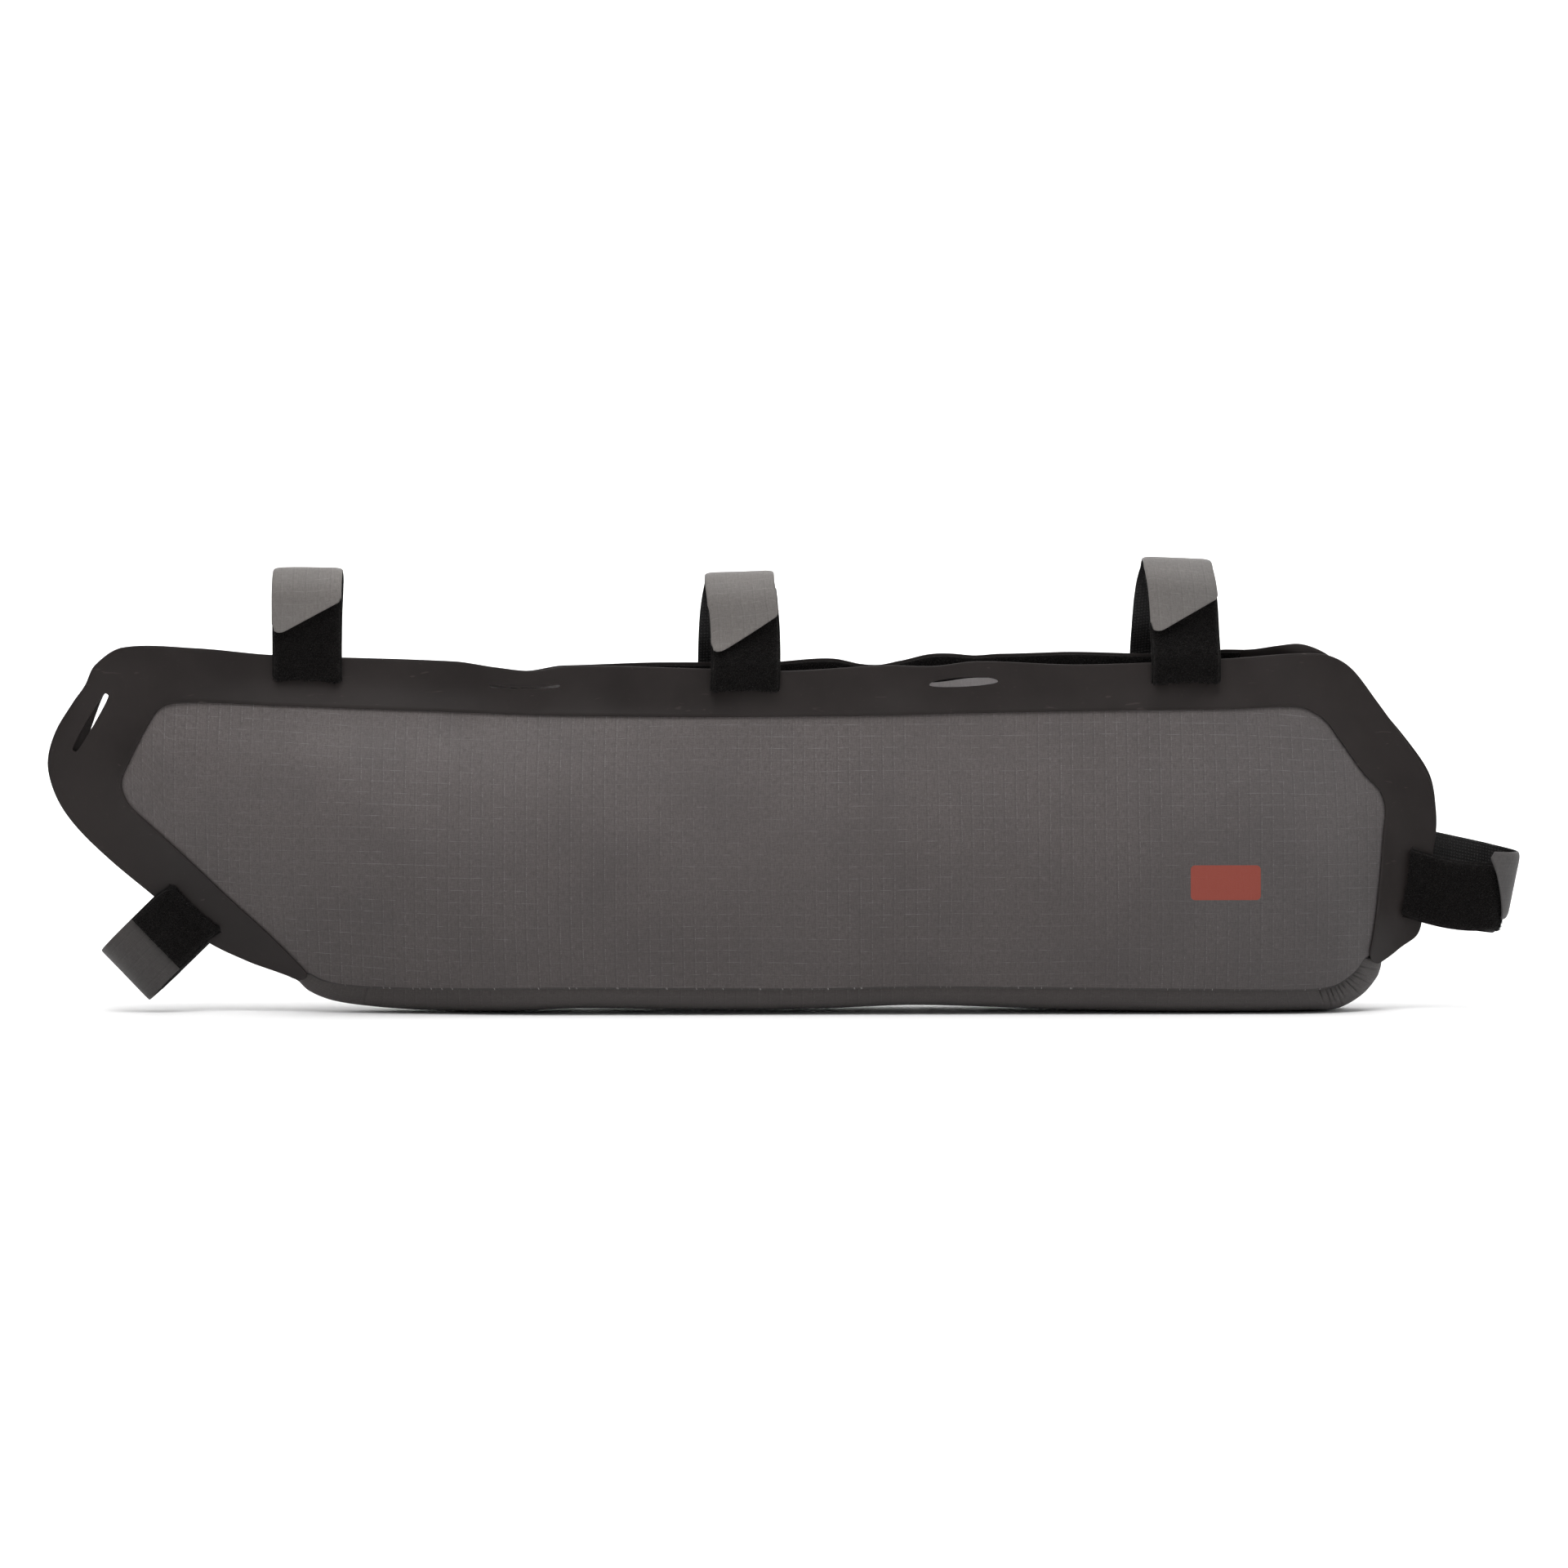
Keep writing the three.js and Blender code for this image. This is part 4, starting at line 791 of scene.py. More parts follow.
# Darker copies of the tab cloth for the straps that face down or sideways: painted shade.
shaded_tab_cloth = ripstop("shaded_tab_ripstop", (0.047, 0.0425, 0.041), (0.072, 0.0652, 0.063),
                           (0.13, 0.12, 0.12), pitch=(4.4, 4.6), line_strength=0.3)
side_shaded_tab_cloth = ripstop("side_shaded_tab_ripstop", (0.067, 0.0605, 0.059), (0.107, 0.0972, 0.0945),
                         (0.2, 0.19, 0.18), pitch=(4.4, 4.6), line_strength=0.3)
band_film = film("band_film", (0.0150, 0.0117, 0.0112), (0.0215, 0.0172, 0.0164))
pile_plush = plush("pile_plush", (0.0078, 0.0062, 0.0058), 0.04)
fibre_plush = plush("fibre_plush", (0.0105, 0.0084, 0.0078), 0.06)
hook_face = hooks("hook_face")
cut_edge = seam_edge("seam_edge")


# The bands
LEFT_TIP_WIDTH = 5.0
RIGHT_TIP_WIDTH = 6.4
TIP_RUN = 3.2
TIP_STEPS = 14
BAND_STEPS = 720
BAND_END = 0.02
WELDED_WALL = 1.46
OPEN_HALF_DEPTH = 3.0


def tip_round(distance, width, length):
    """How far the band's edges draw in at its two round tips, as shares of the width."""
    radius = width / 2
    from_end = np.minimum(distance, length - distance)
    inside = np.clip(1 - from_end / radius, 0, 1)
    return 0.5 * (1 - np.sqrt(np.clip(1 - inside ** 2, 0, 1)))


def film_wall(side, x, z):
    """The film's wall: its own thickness, and nearly half the fin's where the bag's ends are welded shut."""
    half = half_depth(side, x, z)
    return mix(WELDED_WALL, FILM, smooth((half - FIN_HALF) / (OPEN_HALF_DEPTH - FIN_HALF)))


def make_band(side):
    length = band.length
    at = np.concatenate([np.linspace(0, TIP_RUN, TIP_STEPS)[:-1],
                         np.linspace(TIP_RUN, length - TIP_RUN, BAND_STEPS),
                         np.linspace(length - TIP_RUN, length, TIP_STEPS)[1:]])
    at[0], at[-1] = BAND_END, length - BAND_END
    inner_x, inner_z, outer_x, outer_z, width = band_at(at)
    draw = tip_round(at, np.where(at < length / 2, LEFT_TIP_WIDTH, RIGHT_TIP_WIDTH), length)
    points, uvs = [], []
    for base, offset, depth in sheet_ring(np.linspace(0, 1, 15), FILM):
        t = draw + (base + offset / width) * (1 - 2 * draw)
        x = mix(inner_x, outer_x, t)
        z = mix(inner_z, outer_z, t)
        points.append(skin(side, x, z, depth / FILM * film_wall(side, x, z)))
        uvs.append(np.stack([at, t * width], axis=-1))
    made = loft(np.stack(points, axis=1), np.stack(uvs, axis=1))
    face = FACES[side]
    return make_piece(face + "_band_film", made, (band_film,), face + "_band", cuts=list(SLOTS),
                      side=side)


# The panels
PANEL_MOUTH_ROWS = (13, 28)
MOUTH_EASE = 30
PANEL_END = 1.5
PANEL_STATIONS = 300
PANEL_CROWDING = 0.35
WEAVE_LEVEL = 0.42
ROUND_EDGE_POINTS = 5


def panel_edge(distance):
    """The panel's edge under the band: a weld's margin inside it, and nearly at the mouth along its top."""
    inner_x, inner_z, outer_x, outer_z, width = band_at(distance)
    start, end = (band.row(row) for row in PANEL_MOUTH_ROWS)
    mouthward = smooth((distance - start) / MOUTH_EASE) * smooth((end - distance) / MOUTH_EASE)
    reach = mix(WELD_MARGIN, width - PANEL_INSET, mouthward) / width
    return mix(inner_x, outer_x, reach), mix(inner_z, outer_z, reach)


def panel_chains():
    """The panel's upper edge and its lower one, which follows the seam, each as x and z."""
    left, right = band.row(LEFT_TURN), band.row(RIGHT_TURN)
    upper = panel_edge(np.linspace(left, right, 900))
    low_left = [values[::-1] for values in panel_edge(np.linspace(0, left, 300))]
    seam = gusset.at(np.linspace(0, gusset.length, 700))[:2]
    low_right = [values[::-1] for values in panel_edge(np.linspace(right, band.length, 300))]
    lower = [np.concatenate(parts) for parts in zip(low_left, seam, low_right)]
    return upper, lower


def weave_along(x, outer):
    """The cloth's coordinates run along its surface, so that the weave isn't stretched where it slopes."""
    heights = outer[:, :, 2]
    climb = np.cumsum(np.linalg.norm(np.diff(outer, axis=1), axis=2), axis=1)
    climb = np.concatenate([np.zeros((len(x), 1)), climb], axis=1)
    middle = [np.interp(WEAVE_LEVEL * BAG_HEIGHT, height, run) for height, run in zip(heights, climb)]
    level = climb - np.array(middle)[:, None]
    tilt = 6.0 * (1 - np.exp(-x / 120.0)) + 0.8 * np.sin(x / 90.0)
    lean = 0.9 * np.sin(heights / 40.0) * np.sin(x / 120.0)[:, None]
    return np.stack([x[:, None] + lean, level + tilt[:, None]], axis=-1)


def make_panel(side):
    (up_x, up_z), (low_x, low_z) = panel_chains()
    order = np.argsort(low_x, kind="stable")
    share = np.linspace(0, 1, PANEL_STATIONS)
    crowded = mix(share, (1 - np.cos(math.pi * share)) / 2, PANEL_CROWDING)
    x = mix(up_x[0] + PANEL_END, up_x[-1] - PANEL_END, crowded)
    low = np.interp(x, low_x[order], low_z[order])
    tall = np.interp(x, up_x, up_z) - low
    steps = np.concatenate([[0, 0.006, 0.02], np.linspace(0.04, 0.97, 62), [0.985, 1]])
    points, uvs = [], []
    for base, offset, depth in sheet_ring(steps, CLOTH):
        z = low + base * tall + offset
        points.append(skin(side, x, z, FILM + LAYER + depth))
        uvs.append(np.stack([x, z], axis=-1))
    rings = np.stack(points, axis=1)
    ring_uvs = np.stack(uvs, axis=1)
    outer_count = len(steps) - 2
    ring_uvs[:, :outer_count] = weave_along(x, rings[:, :outer_count])
    # The ring is the outer face, the top edge, the inner face and the bottom edge.
    inner_from = outer_count + ROUND_EDGE_POINTS
    kinds = np.zeros(rings.shape[1], int)
    kinds[inner_from:inner_from + outer_count - 1] = 1
    kinds[inner_from + outer_count:] = 2
    made = loft(rings, ring_uvs, kinds)
    face = FACES[side]
    return make_piece(face + "_panel_cloth", made, (panel_cloth, inner_coat, cut_edge), face + "_panel",
                      cuts=[slot for slot in SLOTS if slot.startswith("top")], side=side)


# The gusset
# Creases that fan out of the gathered corner: share of the way round it, depth, how far they reach outwards
CORNER_CREASES = [
    (0.02, 0.6, 0.4), (0.12, 0.5, 0.75), (0.19, 0.6, 0.5), (0.27, 0.45, 0.9), (0.34, 0.6, 0.45),
    (0.42, 0.5, 0.35), (0.52, 0.6, 0.8), (0.6, 0.5, 0.35), (0.7, 0.5, 0.7), (0.78, 0.45, 0.4),
    (0.9, 0.4, 0.6),
]
GATHERS = (12.45, 16.7)
# The tucks at the left end of the seam: distance, depth, how far they reach outwards
LEFT_TUCKS = [(12.0, 0.14, 0.9), (24.5, 0.28, 1.0), (30.0, 0.12, 0.6)]
GUSSET_END = 0.05
LEFT_FINE = 36
GATHER_LEAD = 4
GATHER_EASE = 3
CREASE_FADE = 0.4
CREASE_SHARE = 0.8
CREASE_WIDTH = 0.012
CREASE_BEND = 0.012
CREST_SHIFT = 0.03
CREST_WIDTH = 0.025
TUCK_WIDTH = 0.6
# How slack the cloth hangs, and how little of that is left on the bag's underside, between two angles
SLACK = 0.35
UNDERSIDE = (1.2, 1.94)
CALM = 0.2
DEPTH_PULL = 0.12
CREASE_PAINTED_SHADE = 1.7
SEAM_SHADE_REACH = 0.09
CLOTH_PER_DEGREE = 0.42
FAR_MARGIN_FROM = 76
INNER_DEPTH = FILM + 2 * LAYER + CLOTH

gather_from, gather_to = (gusset.row(row) for row in GATHERS)
gusset_at = np.concatenate([
    np.linspace(GUSSET_END, LEFT_FINE, 120)[:-1],
    np.linspace(LEFT_FINE, gather_from - GATHER_LEAD, 190)[:-1],
    np.linspace(gather_from - GATHER_LEAD, gusset.length - GUSSET_END, 200),
])


def crease_at(outward_share, side):
    """How deep the gathers and tucks are on one of the gusset's lines."""
    share = (gusset_at - gather_from) / (gather_to - gather_from)
    total = np.zeros_like(gusset_at)
    for place, deep, reach in CORNER_CREASES:
        place = place if side < 0 else 1 - place
        off = share - place - CREASE_BEND * math.sin(place * 40) * outward_share
        fade = smooth((reach - outward_share) / CREASE_FADE)
        total = total + CREASE_SHARE * deep * fade * bell(off / CREASE_WIDTH)
        total = total - (1 - CREASE_SHARE) * deep * fade * bell((off - CREST_SHIFT) / CREST_WIDTH)
    for place, deep, reach in LEFT_TUCKS:
        fade = smooth((reach - outward_share) / CREASE_FADE)
        total = total + deep * fade * bell((gusset_at - place) / TUCK_WIDTH)
    return total


def shade_under_seam():
    """How much painted shade darkens the gusset right under the seam: most at the gathers."""
    past_start = smooth((gusset_at - gather_from + GATHER_EASE) / (2 * GATHER_EASE))
    before_end = smooth((gather_to + GATHER_EASE - gusset_at) / (2 * GATHER_EASE))
    uneven = 0.5 + 0.3 * np.sin(gusset_at * 1.9) * np.sin(gusset_at * 0.7 + 1)
    return past_start * before_end * uneven + 0.12


def gusset_surface(wall):
    """The gusset's lines at a depth under its outside: their points, cloth coordinates and painted shade in
    creases and under the seam.
    """
    seam_x, seam_z, edge_x, edge_z = gusset.at(gusset_at)
    drop = np.hypot(edge_x - seam_x, edge_z - seam_z)
    out_x, out_z = (edge_x - seam_x) / drop, (edge_z - seam_z) / drop
    turns = np.radians(np.concatenate([[0], np.linspace(4, 86, 24), [90], np.linspace(94, 176, 24), [180]]))
    margins = SEAM_MARGIN * np.linspace(1, 0, 4)[:-1]
    level = np.ones_like(gusset_at)
    columns, uvs, folds = [], [], []

    def at(side, out):
        return skin(side, seam_x + out_x * out, seam_z + out_z * out, INNER_DEPTH + wall)

    def add(points, across, dark):
        columns.append(points)
        uvs.append(np.stack([gusset_at, across * level], axis=-1))
        folds.append(dark)

    seam_y = at(-1, 0 * level)[:, 1]
    for margin in margins:
        add(at(-1, -margin * level), -margin, 0 * level)
    for angle in turns:
        side = -1 if angle <= math.pi / 2 else 1
        down = math.sin(angle) ** (2 / GUSSET_ROUNDNESS) * (drop - wall)
        swing = math.copysign(abs(math.cos(angle)) ** (2 / GUSSET_ROUNDNESS), math.cos(angle))
        local = at(-1, down)
        outward_share = min(angle, math.pi - angle) / (math.pi / 2)
        dip = crease_at(outward_share, side)
        calm = CALM if UNDERSIDE[0] < angle < UNDERSIDE[1] else 1.0
        slack = SLACK * np.sin(gusset_at / 21.0 + side) * np.sin(angle) * calm
        y = np.maximum(seam_y, local[:, 1]) * swing
        y = y + side * (-dip * abs(swing) + slack * 0.5)
        pull = dip * math.sin(angle) * DEPTH_PULL
        line = np.stack([local[:, 0] - out_x * pull, y, local[:, 2] - out_z * pull], axis=-1)
        # Painted shade: the creases and the cloth right under the seam are darkened in the material.
        under_seam = shade_under_seam() * smooth(1 - outward_share / SEAM_SHADE_REACH)
        dark = np.clip(dip, 0, 1) * CREASE_PAINTED_SHADE + under_seam
        add(line, math.degrees(angle) * CLOTH_PER_DEGREE, dark)
    for margin in margins[::-1]:
        add(at(1, -margin * level), FAR_MARGIN_FROM + margin, 0 * level)
    return columns, uvs, folds


def make_gusset():
    outer, inner = gusset_surface(0.0), gusset_surface(CLOTH)
    rings, ring_uvs, folds = (np.stack(out + under[::-1], axis=1) for out, under in zip(outer, inner))
    count = len(outer[0])
    made = loft(rings, ring_uvs, [0] * count + [1] * (count - 1) + [0])
    return make_piece("bottom_gusset_cloth", made, (gusset_cloth, inner_coat), "bottom_gusset",
                      angle=50, folds=folds.ravel())


# Fibres
FIBRE_LEAN = 0.5


def add_fibres(name, anchors, normals, fibre, seed):
    """Short curved tapering fibres, one on each anchor."""
    length, width = fibre
    rng = np.random.default_rng(seed)
    count = len(anchors)
    wild = rng.normal(size=(count, 3))
    wild -= normals * np.sum(wild * normals, axis=1)[:, None]
    wild /= np.linalg.norm(wild, axis=1)[:, None] + 1e-9
    size = length * rng.uniform(0.55, 1.15, count)[:, None]
    tip = anchors + normals * size * rng.uniform(0.6, 1.0, count)[:, None] + wild * size * FIBRE_LEAN
    bend = anchors + normals * size * 0.65 + wild * size * FIBRE_LEAN * 0.25
    across = np.cross(normals, wild) * width / 2
    points = np.concatenate([anchors - across, anchors + across, bend + across * 0.8,
                             bend - across * 0.8, tip])
    n = np.arange(count)
    quads = np.stack([n, n + count, n + 2 * count, n + 3 * count], axis=-1)
    tris = np.stack([n + 3 * count, n + 2 * count, n + 4 * count], axis=-1)
    piece = make_object(name, points, quads.tolist() + tris.tolist(), materials=(fibre_plush,))
    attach(piece, "root")


def scatter(rings, columns, density, seed):
    """Random anchors with normals over the part of a loft that columns pick out."""
    rng = np.random.default_rng(seed)
    a = rings[:-1, columns[:-1]]
    b = rings[1:, columns[:-1]]
    c = rings[1:, columns[1:]]
    d = rings[:-1, columns[1:]]
    a, b, c, d = (v.reshape(-1, 3) for v in (a, b, c, d))
    normal = np.cross(c - a, d - b)
    area = np.linalg.norm(normal, axis=1) / 2
    number = rng.poisson(area * density)
    pick = np.repeat(np.arange(len(area)), number)
    s, t = rng.random(len(pick))[:, None], rng.random(len(pick))[:, None]
    points = (a[pick] * (1 - s) * (1 - t) + b[pick] * s * (1 - t) + c[pick] * s * t + d[pick] * (1 - s) * t)
    unit = normal[pick] / (np.linalg.norm(normal[pick], axis=1)[:, None] + 1e-12)
    return points, unit


# The closure tapes
TAPE_WALL = 0.7
TAPE_NEAR = PANEL_INSET - 0.5
TAPE_FAR = TAPE_INSET + PANEL_INSET + TAPE_WIDTH + 0.8
TAPE_INNER_COLUMNS = np.arange(10, 15)
# How many fibres stand on a square millimetre, and how long and wide one is
TAPE_DENSITY = 5.0
TAPE_FIBRE = (0.9, 0.14)


def make_tape(side):
    distance = np.linspace(band.row(TAPE_ROWS[0]), band.row(TAPE_ROWS[1]), 420)
    inner_x, inner_z, outer_x, outer_z, width = band_at(distance)
    points, uvs = [], []
    for base, offset, depth in sheet_ring(np.linspace(0, 1, 7), TAPE_WALL):
        inset = np.full(len(distance), TAPE_NEAR + base * (TAPE_FAR - TAPE_NEAR) + offset)
        t = inset / width
        x, z = mix(outer_x, inner_x, t), mix(outer_z, inner_z, t)
        points.append(skin(side, x, z, INNER_DEPTH + depth))
        uvs.append(np.stack([distance, inset], axis=-1))
    rings = np.stack(points, axis=1)
    face = FACES[side]
    name = face + "_tape_pile"
    make_piece(name, loft(rings, np.stack(uvs, axis=1)), (pile_plush,), face + "_closure_tape",
               angle=60)
    anchors, normals = scatter(rings, TAPE_INNER_COLUMNS, TAPE_DENSITY, 11 + side)
    normals = normals * np.sign(-side * normals[:, 1:2])
    add_fibres(name + "_fibres", anchors, normals, TAPE_FIBRE, 21 + side)


# The straps
STRAP_WALL = 1.0
PILE_WALL = 1.2
LAYER_GAP = 0.55
FULL_SPREAD_ANGLE = 90
ARC_STEP = 7.5
GUIDE_STEPS = 26
STRAP_COLUMNS = 27
TAB_STATIONS = 60
PILE_COLUMNS = 33
PILE_STEP = 0.6
PILE_BODY = 0.72 * PILE
PILE_LIFT = 0.02
PILE_START = 0.9
PILE_STOP = 0.3
PILE_LUMPS = 0.1
PILE_END_WALL = 0.5
# The columns of the pile's ring that lie on its outer face and on its inner one
PILE_OUTER = np.arange(0, 31)
PILE_INNER = np.arange(36, 66)
PILE_DENSITY = 9.0
PILE_FIBRE = (1.0, 0.13)
TAB_TIP_WALL = 0.35
RIPPLE = 0.1
RIPPLE_RUN = 5.0
HOOK_SIDE = 0.2
GUIDE_ALONG = 0.45
GUIDE_SPREAD = 0.8
CORNER_STEPS = (90, 70, 50, 30, 12, 0)
ROW_VALUES = 6
# The cloth on the outside of the two straps that hang in the bag's shade, facing down or sideways, is a darker
# copy: painted shade.
TAB_CLOTHS = {"lower_left": shaded_tab_cloth, "right": side_shaded_tab_cloth}


def strap_facts(name):
    facts = dict(zip(STRAP_FACTS, STRAPS[name]))
    for length in ("reach", "spread", "twist", "droop", "bow", "skew", "tab_skew", "tab_long",
                   "tab_short", "corner"):
        facts[length] *= STRAP_WIDTH
    facts["name"] = name
    along, up, turn = SLOTS[name]
    facts["slot"] = (along * BAG_LENGTH, up * BAG_HEIGHT)
    towards = math.radians(facts["towards"])
    facts["out"] = np.array([math.cos(towards), 0, math.sin(towards)])
    facts["across"] = np.array([math.cos(math.radians(turn)), 0, math.sin(math.radians(turn))])
    facts["front"] = slot_place(name, -1)[:2]
    facts["back"] = slot_place(name, 1)[:2]
    return facts


def strap_lines(s):
    """The strap's line: away from the slot, y, drift sideways, share of the back slot's shift."""
    layers = STRAP_WALL + LAYER_GAP + PILE_WALL + LAYER_GAP
    lift = STRAP_CLEARANCE + STRAP_WALL / 2
    edge_away = s["reach"] * STRAP_EDGE_REACH
    bend_away = s["reach"] - s["spread"] - STRAP_WALL / 2

    def body_at(side, away):
        x = s["slot"][0] + s["out"][0] * away
        z = s["slot"][1] + s["out"][2] * away
        spots = np.linspace(-0.5, 0.5, 5) * STRAP_WIDTH
        return float(half_depth(side, x + s["across"][0] * spots, z + s["across"][2] * spots).max())

    def turned(away):
        return s["twist"] * min(max(away / s["reach"], 0), 1) ** TWIST_POWER

    def on_back(away):
        return 1.0 if s["skew"] else 1 - min(max(away / s["reach"], 0), 1) ** TWIST_POWER

    def leg(side):
        on_far = side != s["tab_side"]
        slot_y = body_at(side, 0) + lift
        radius = min(BEND_RADIUS, slot_y - 0.3)
        edge_y = max(body_at(side, edge_away) + lift, slot_y)
        corner = [(radius - radius * math.sin(a), slot_y - radius + radius * math.cos(a))
                  for a in np.radians(CORNER_STEPS)]
        if corner[0][1] - CROSSING_RUN > 0:
            corner.insert(0, (0.0, corner[0][1] - CROSSING_RUN))
        half_way = (mix(edge_away, bend_away, GUIDE_ALONG), mix(edge_y, s["spread"], GUIDE_SPREAD))
        guide = [corner[-1], (edge_away, edge_y), half_way, (bend_away, s["spread"])]
        lines = []
        for away, y in corner + [tuple(point) for point in smooth_line(guide, GUIDE_STEPS)[1:]]:
            drift = turned(away)
            if on_far:
                drift += s["skew"] * float(smooth(away / edge_away)) * mix(1, SKEW_KEPT, away / s["reach"])
            else:
                drift += s["bow"] * math.sin(math.pi * min(away / s["reach"], 1))
            lines.append((away, side * y, drift, on_back(away) if side > 0 else 0.0))
        return lines

    straight = leg(s["tab_side"])
    far = leg(-s["tab_side"])
    bend = far[-1]
    last = straight[-1]
    curl = []
    for angle in np.radians(np.linspace(0, s["curl"], 8)[1:]):
        away = bend_away + math.sin(angle) * s["spread"]
        drift = turned(away) + last[2] - turned(bend_away)
        curl.append((away, s["tab_side"] * math.cos(angle) * s["spread"], drift, last[3]))
    arc = []
    for angle in np.arange(ARC_STEP, 179, ARC_STEP):
        spread = s["spread"] + layers * min(angle / FULL_SPREAD_ANGLE, 1)
        away = bend_away + math.sin(math.radians(angle)) * spread
        y = -s["tab_side"] * math.cos(math.radians(angle)) * spread
        skewed = mix(bend[2] - turned(bend_away), s["tab_skew"], angle / 180)
        back = mix(bend[3], last[3], angle / 180)
        if not s["skew"]:
            back = on_back(away) if angle < 90 else 0.0
        arc.append((away, y, turned(away) + skewed, back))
    tab = [(away, y + s["tab_side"] * layers, drift + s["tab_skew"], back)
           for away, y, drift, back in straight[::-1] if away > edge_away]
    return straight + curl, far, arc, tab


def smooth_line(points, count):
    """A centripetal Catmull-Rom line through points."""
    points = np.array(points, float)
    before = 2 * points[0] - points[1]
    after = 2 * points[-1] - points[-2]
    padded = np.vstack([before, points, after])
    out = []
    for k in range(1, len(padded) - 2):
        p0, p1, p2, p3 = padded[k - 1:k + 3]
        t0 = 0.0
        t1 = t0 + math.sqrt(np.linalg.norm(p1 - p0))
        t2 = t1 + math.sqrt(np.linalg.norm(p2 - p1))
        t3 = t2 + math.sqrt(np.linalg.norm(p3 - p2))
        pieces = max(3, int(count / (len(padded) - 3)))
        for t in np.linspace(t1, t2, pieces, endpoint=k == len(padded) - 3):
            a1 = (t1 - t) / (t1 - t0) * p0 + (t - t0) / (t1 - t0) * p1
            a2 = (t2 - t) / (t2 - t1) * p1 + (t - t1) / (t2 - t1) * p2
            a3 = (t3 - t) / (t3 - t2) * p2 + (t - t2) / (t3 - t2) * p3
            b1 = (t2 - t) / (t2 - t0) * a1 + (t - t0) / (t2 - t0) * a2
            b2 = (t3 - t) / (t3 - t1) * a2 + (t - t1) / (t3 - t1) * a3
            out.append((t2 - t) / (t2 - t1) * b1 + (t - t1) / (t2 - t1) * b2)
    return out


def run_along(points):
    """The distance run at each point of a line."""
    return np.concatenate([[0], np.cumsum(np.linalg.norm(np.diff(points, axis=0), axis=1))])


def with_offsets(points):
    """Rows of away, y, drift, back, and the two parts of the offset's direction."""
    points = np.array(points, float)
    steps = np.diff(points[:, :2], axis=0)
    steps /= np.linalg.norm(steps, axis=1)[:, None] + 1e-12
    turn_in = np.vstack([steps[:1], steps])
    turn_out = np.vstack([steps, steps[-1:]])
    middle = turn_in + turn_out
    middle /= np.linalg.norm(middle, axis=1)[:, None]
    stretch = 1 / np.maximum(np.sum(middle * turn_in, axis=1), 0.5)
    offsets = np.stack([middle[:, 1] * stretch, -middle[:, 0] * stretch], axis=-1)
    return np.hstack([points, offsets])


def rows_at(at, lengths, rows):
    return np.stack([np.interp(at, lengths, rows[:, k]) for k in range(ROW_VALUES)], axis=-1)


def place_on_strap(s, rows, offset, sideways):
    """Points of the strap, offset from its line and sideways of its middle, both in millimetres."""
    away = rows[..., 0] + rows[..., 4] * offset
    y = rows[..., 1] + rows[..., 5] * offset
    square = np.array([s["out"][2], 0, -s["out"][0]])
    if np.dot(square, s["across"]) < 0:
        square = -square
    turn = smooth(away / (s["reach"] * SQUARE_SHARE))[..., None]
    across = mix(s["across"], square, turn)
    across = across / np.linalg.norm(across, axis=-1)[..., None]
    # The crease at the slot bows up a little in its middle, and the folded end is round at both edges.
    share = np.clip(away / s["reach"], 0, 1.2)
    off = 2 * sideways / STRAP_WIDTH
    away = away + STRAP_BOW * (1 - off ** 2) * bell(away / BOW_RUN)
    folded = smooth((share - FOLD_FROM) / (1 - FOLD_FROM))
    away = away + (s["tilt"] * sideways - s["droop"] * off ** FOLD_POWER) * folded
    x = mix(s["front"][0], s["back"][0], rows[..., 3])
    z = mix(s["front"][1], s["back"][1], rows[..., 3])
    base = np.stack([x, y, z], axis=-1)
    return base + s["out"] * away[..., None] + across * (sideways + rows[..., 2])[..., None]


def ribbon_ring(columns, wall):
    """A ribbon's cross-section: share across, millimetres from there, offset from the ribbon's middle."""
    return [(share, shift, wall / 2 - depth) for share, shift, depth in sheet_ring(columns, wall, 2)]


def tab_end(s, column):
    """How far the slanted tab reaches past the loop's tip, with its two round corners."""
    from_long = abs(column - s["long_edge"])
    ends = 0.0
    for place, corner in ((from_long, s["corner"]), (1 - from_long, SHORT_CORNER)):
        in_corner = min(max(1 - place * STRAP_WIDTH / corner, 0), 1)
        ends += corner * (1 - math.sqrt(1 - in_corner ** 2))
    return mix(s["tab_long"], s["tab_short"], from_long) - ends


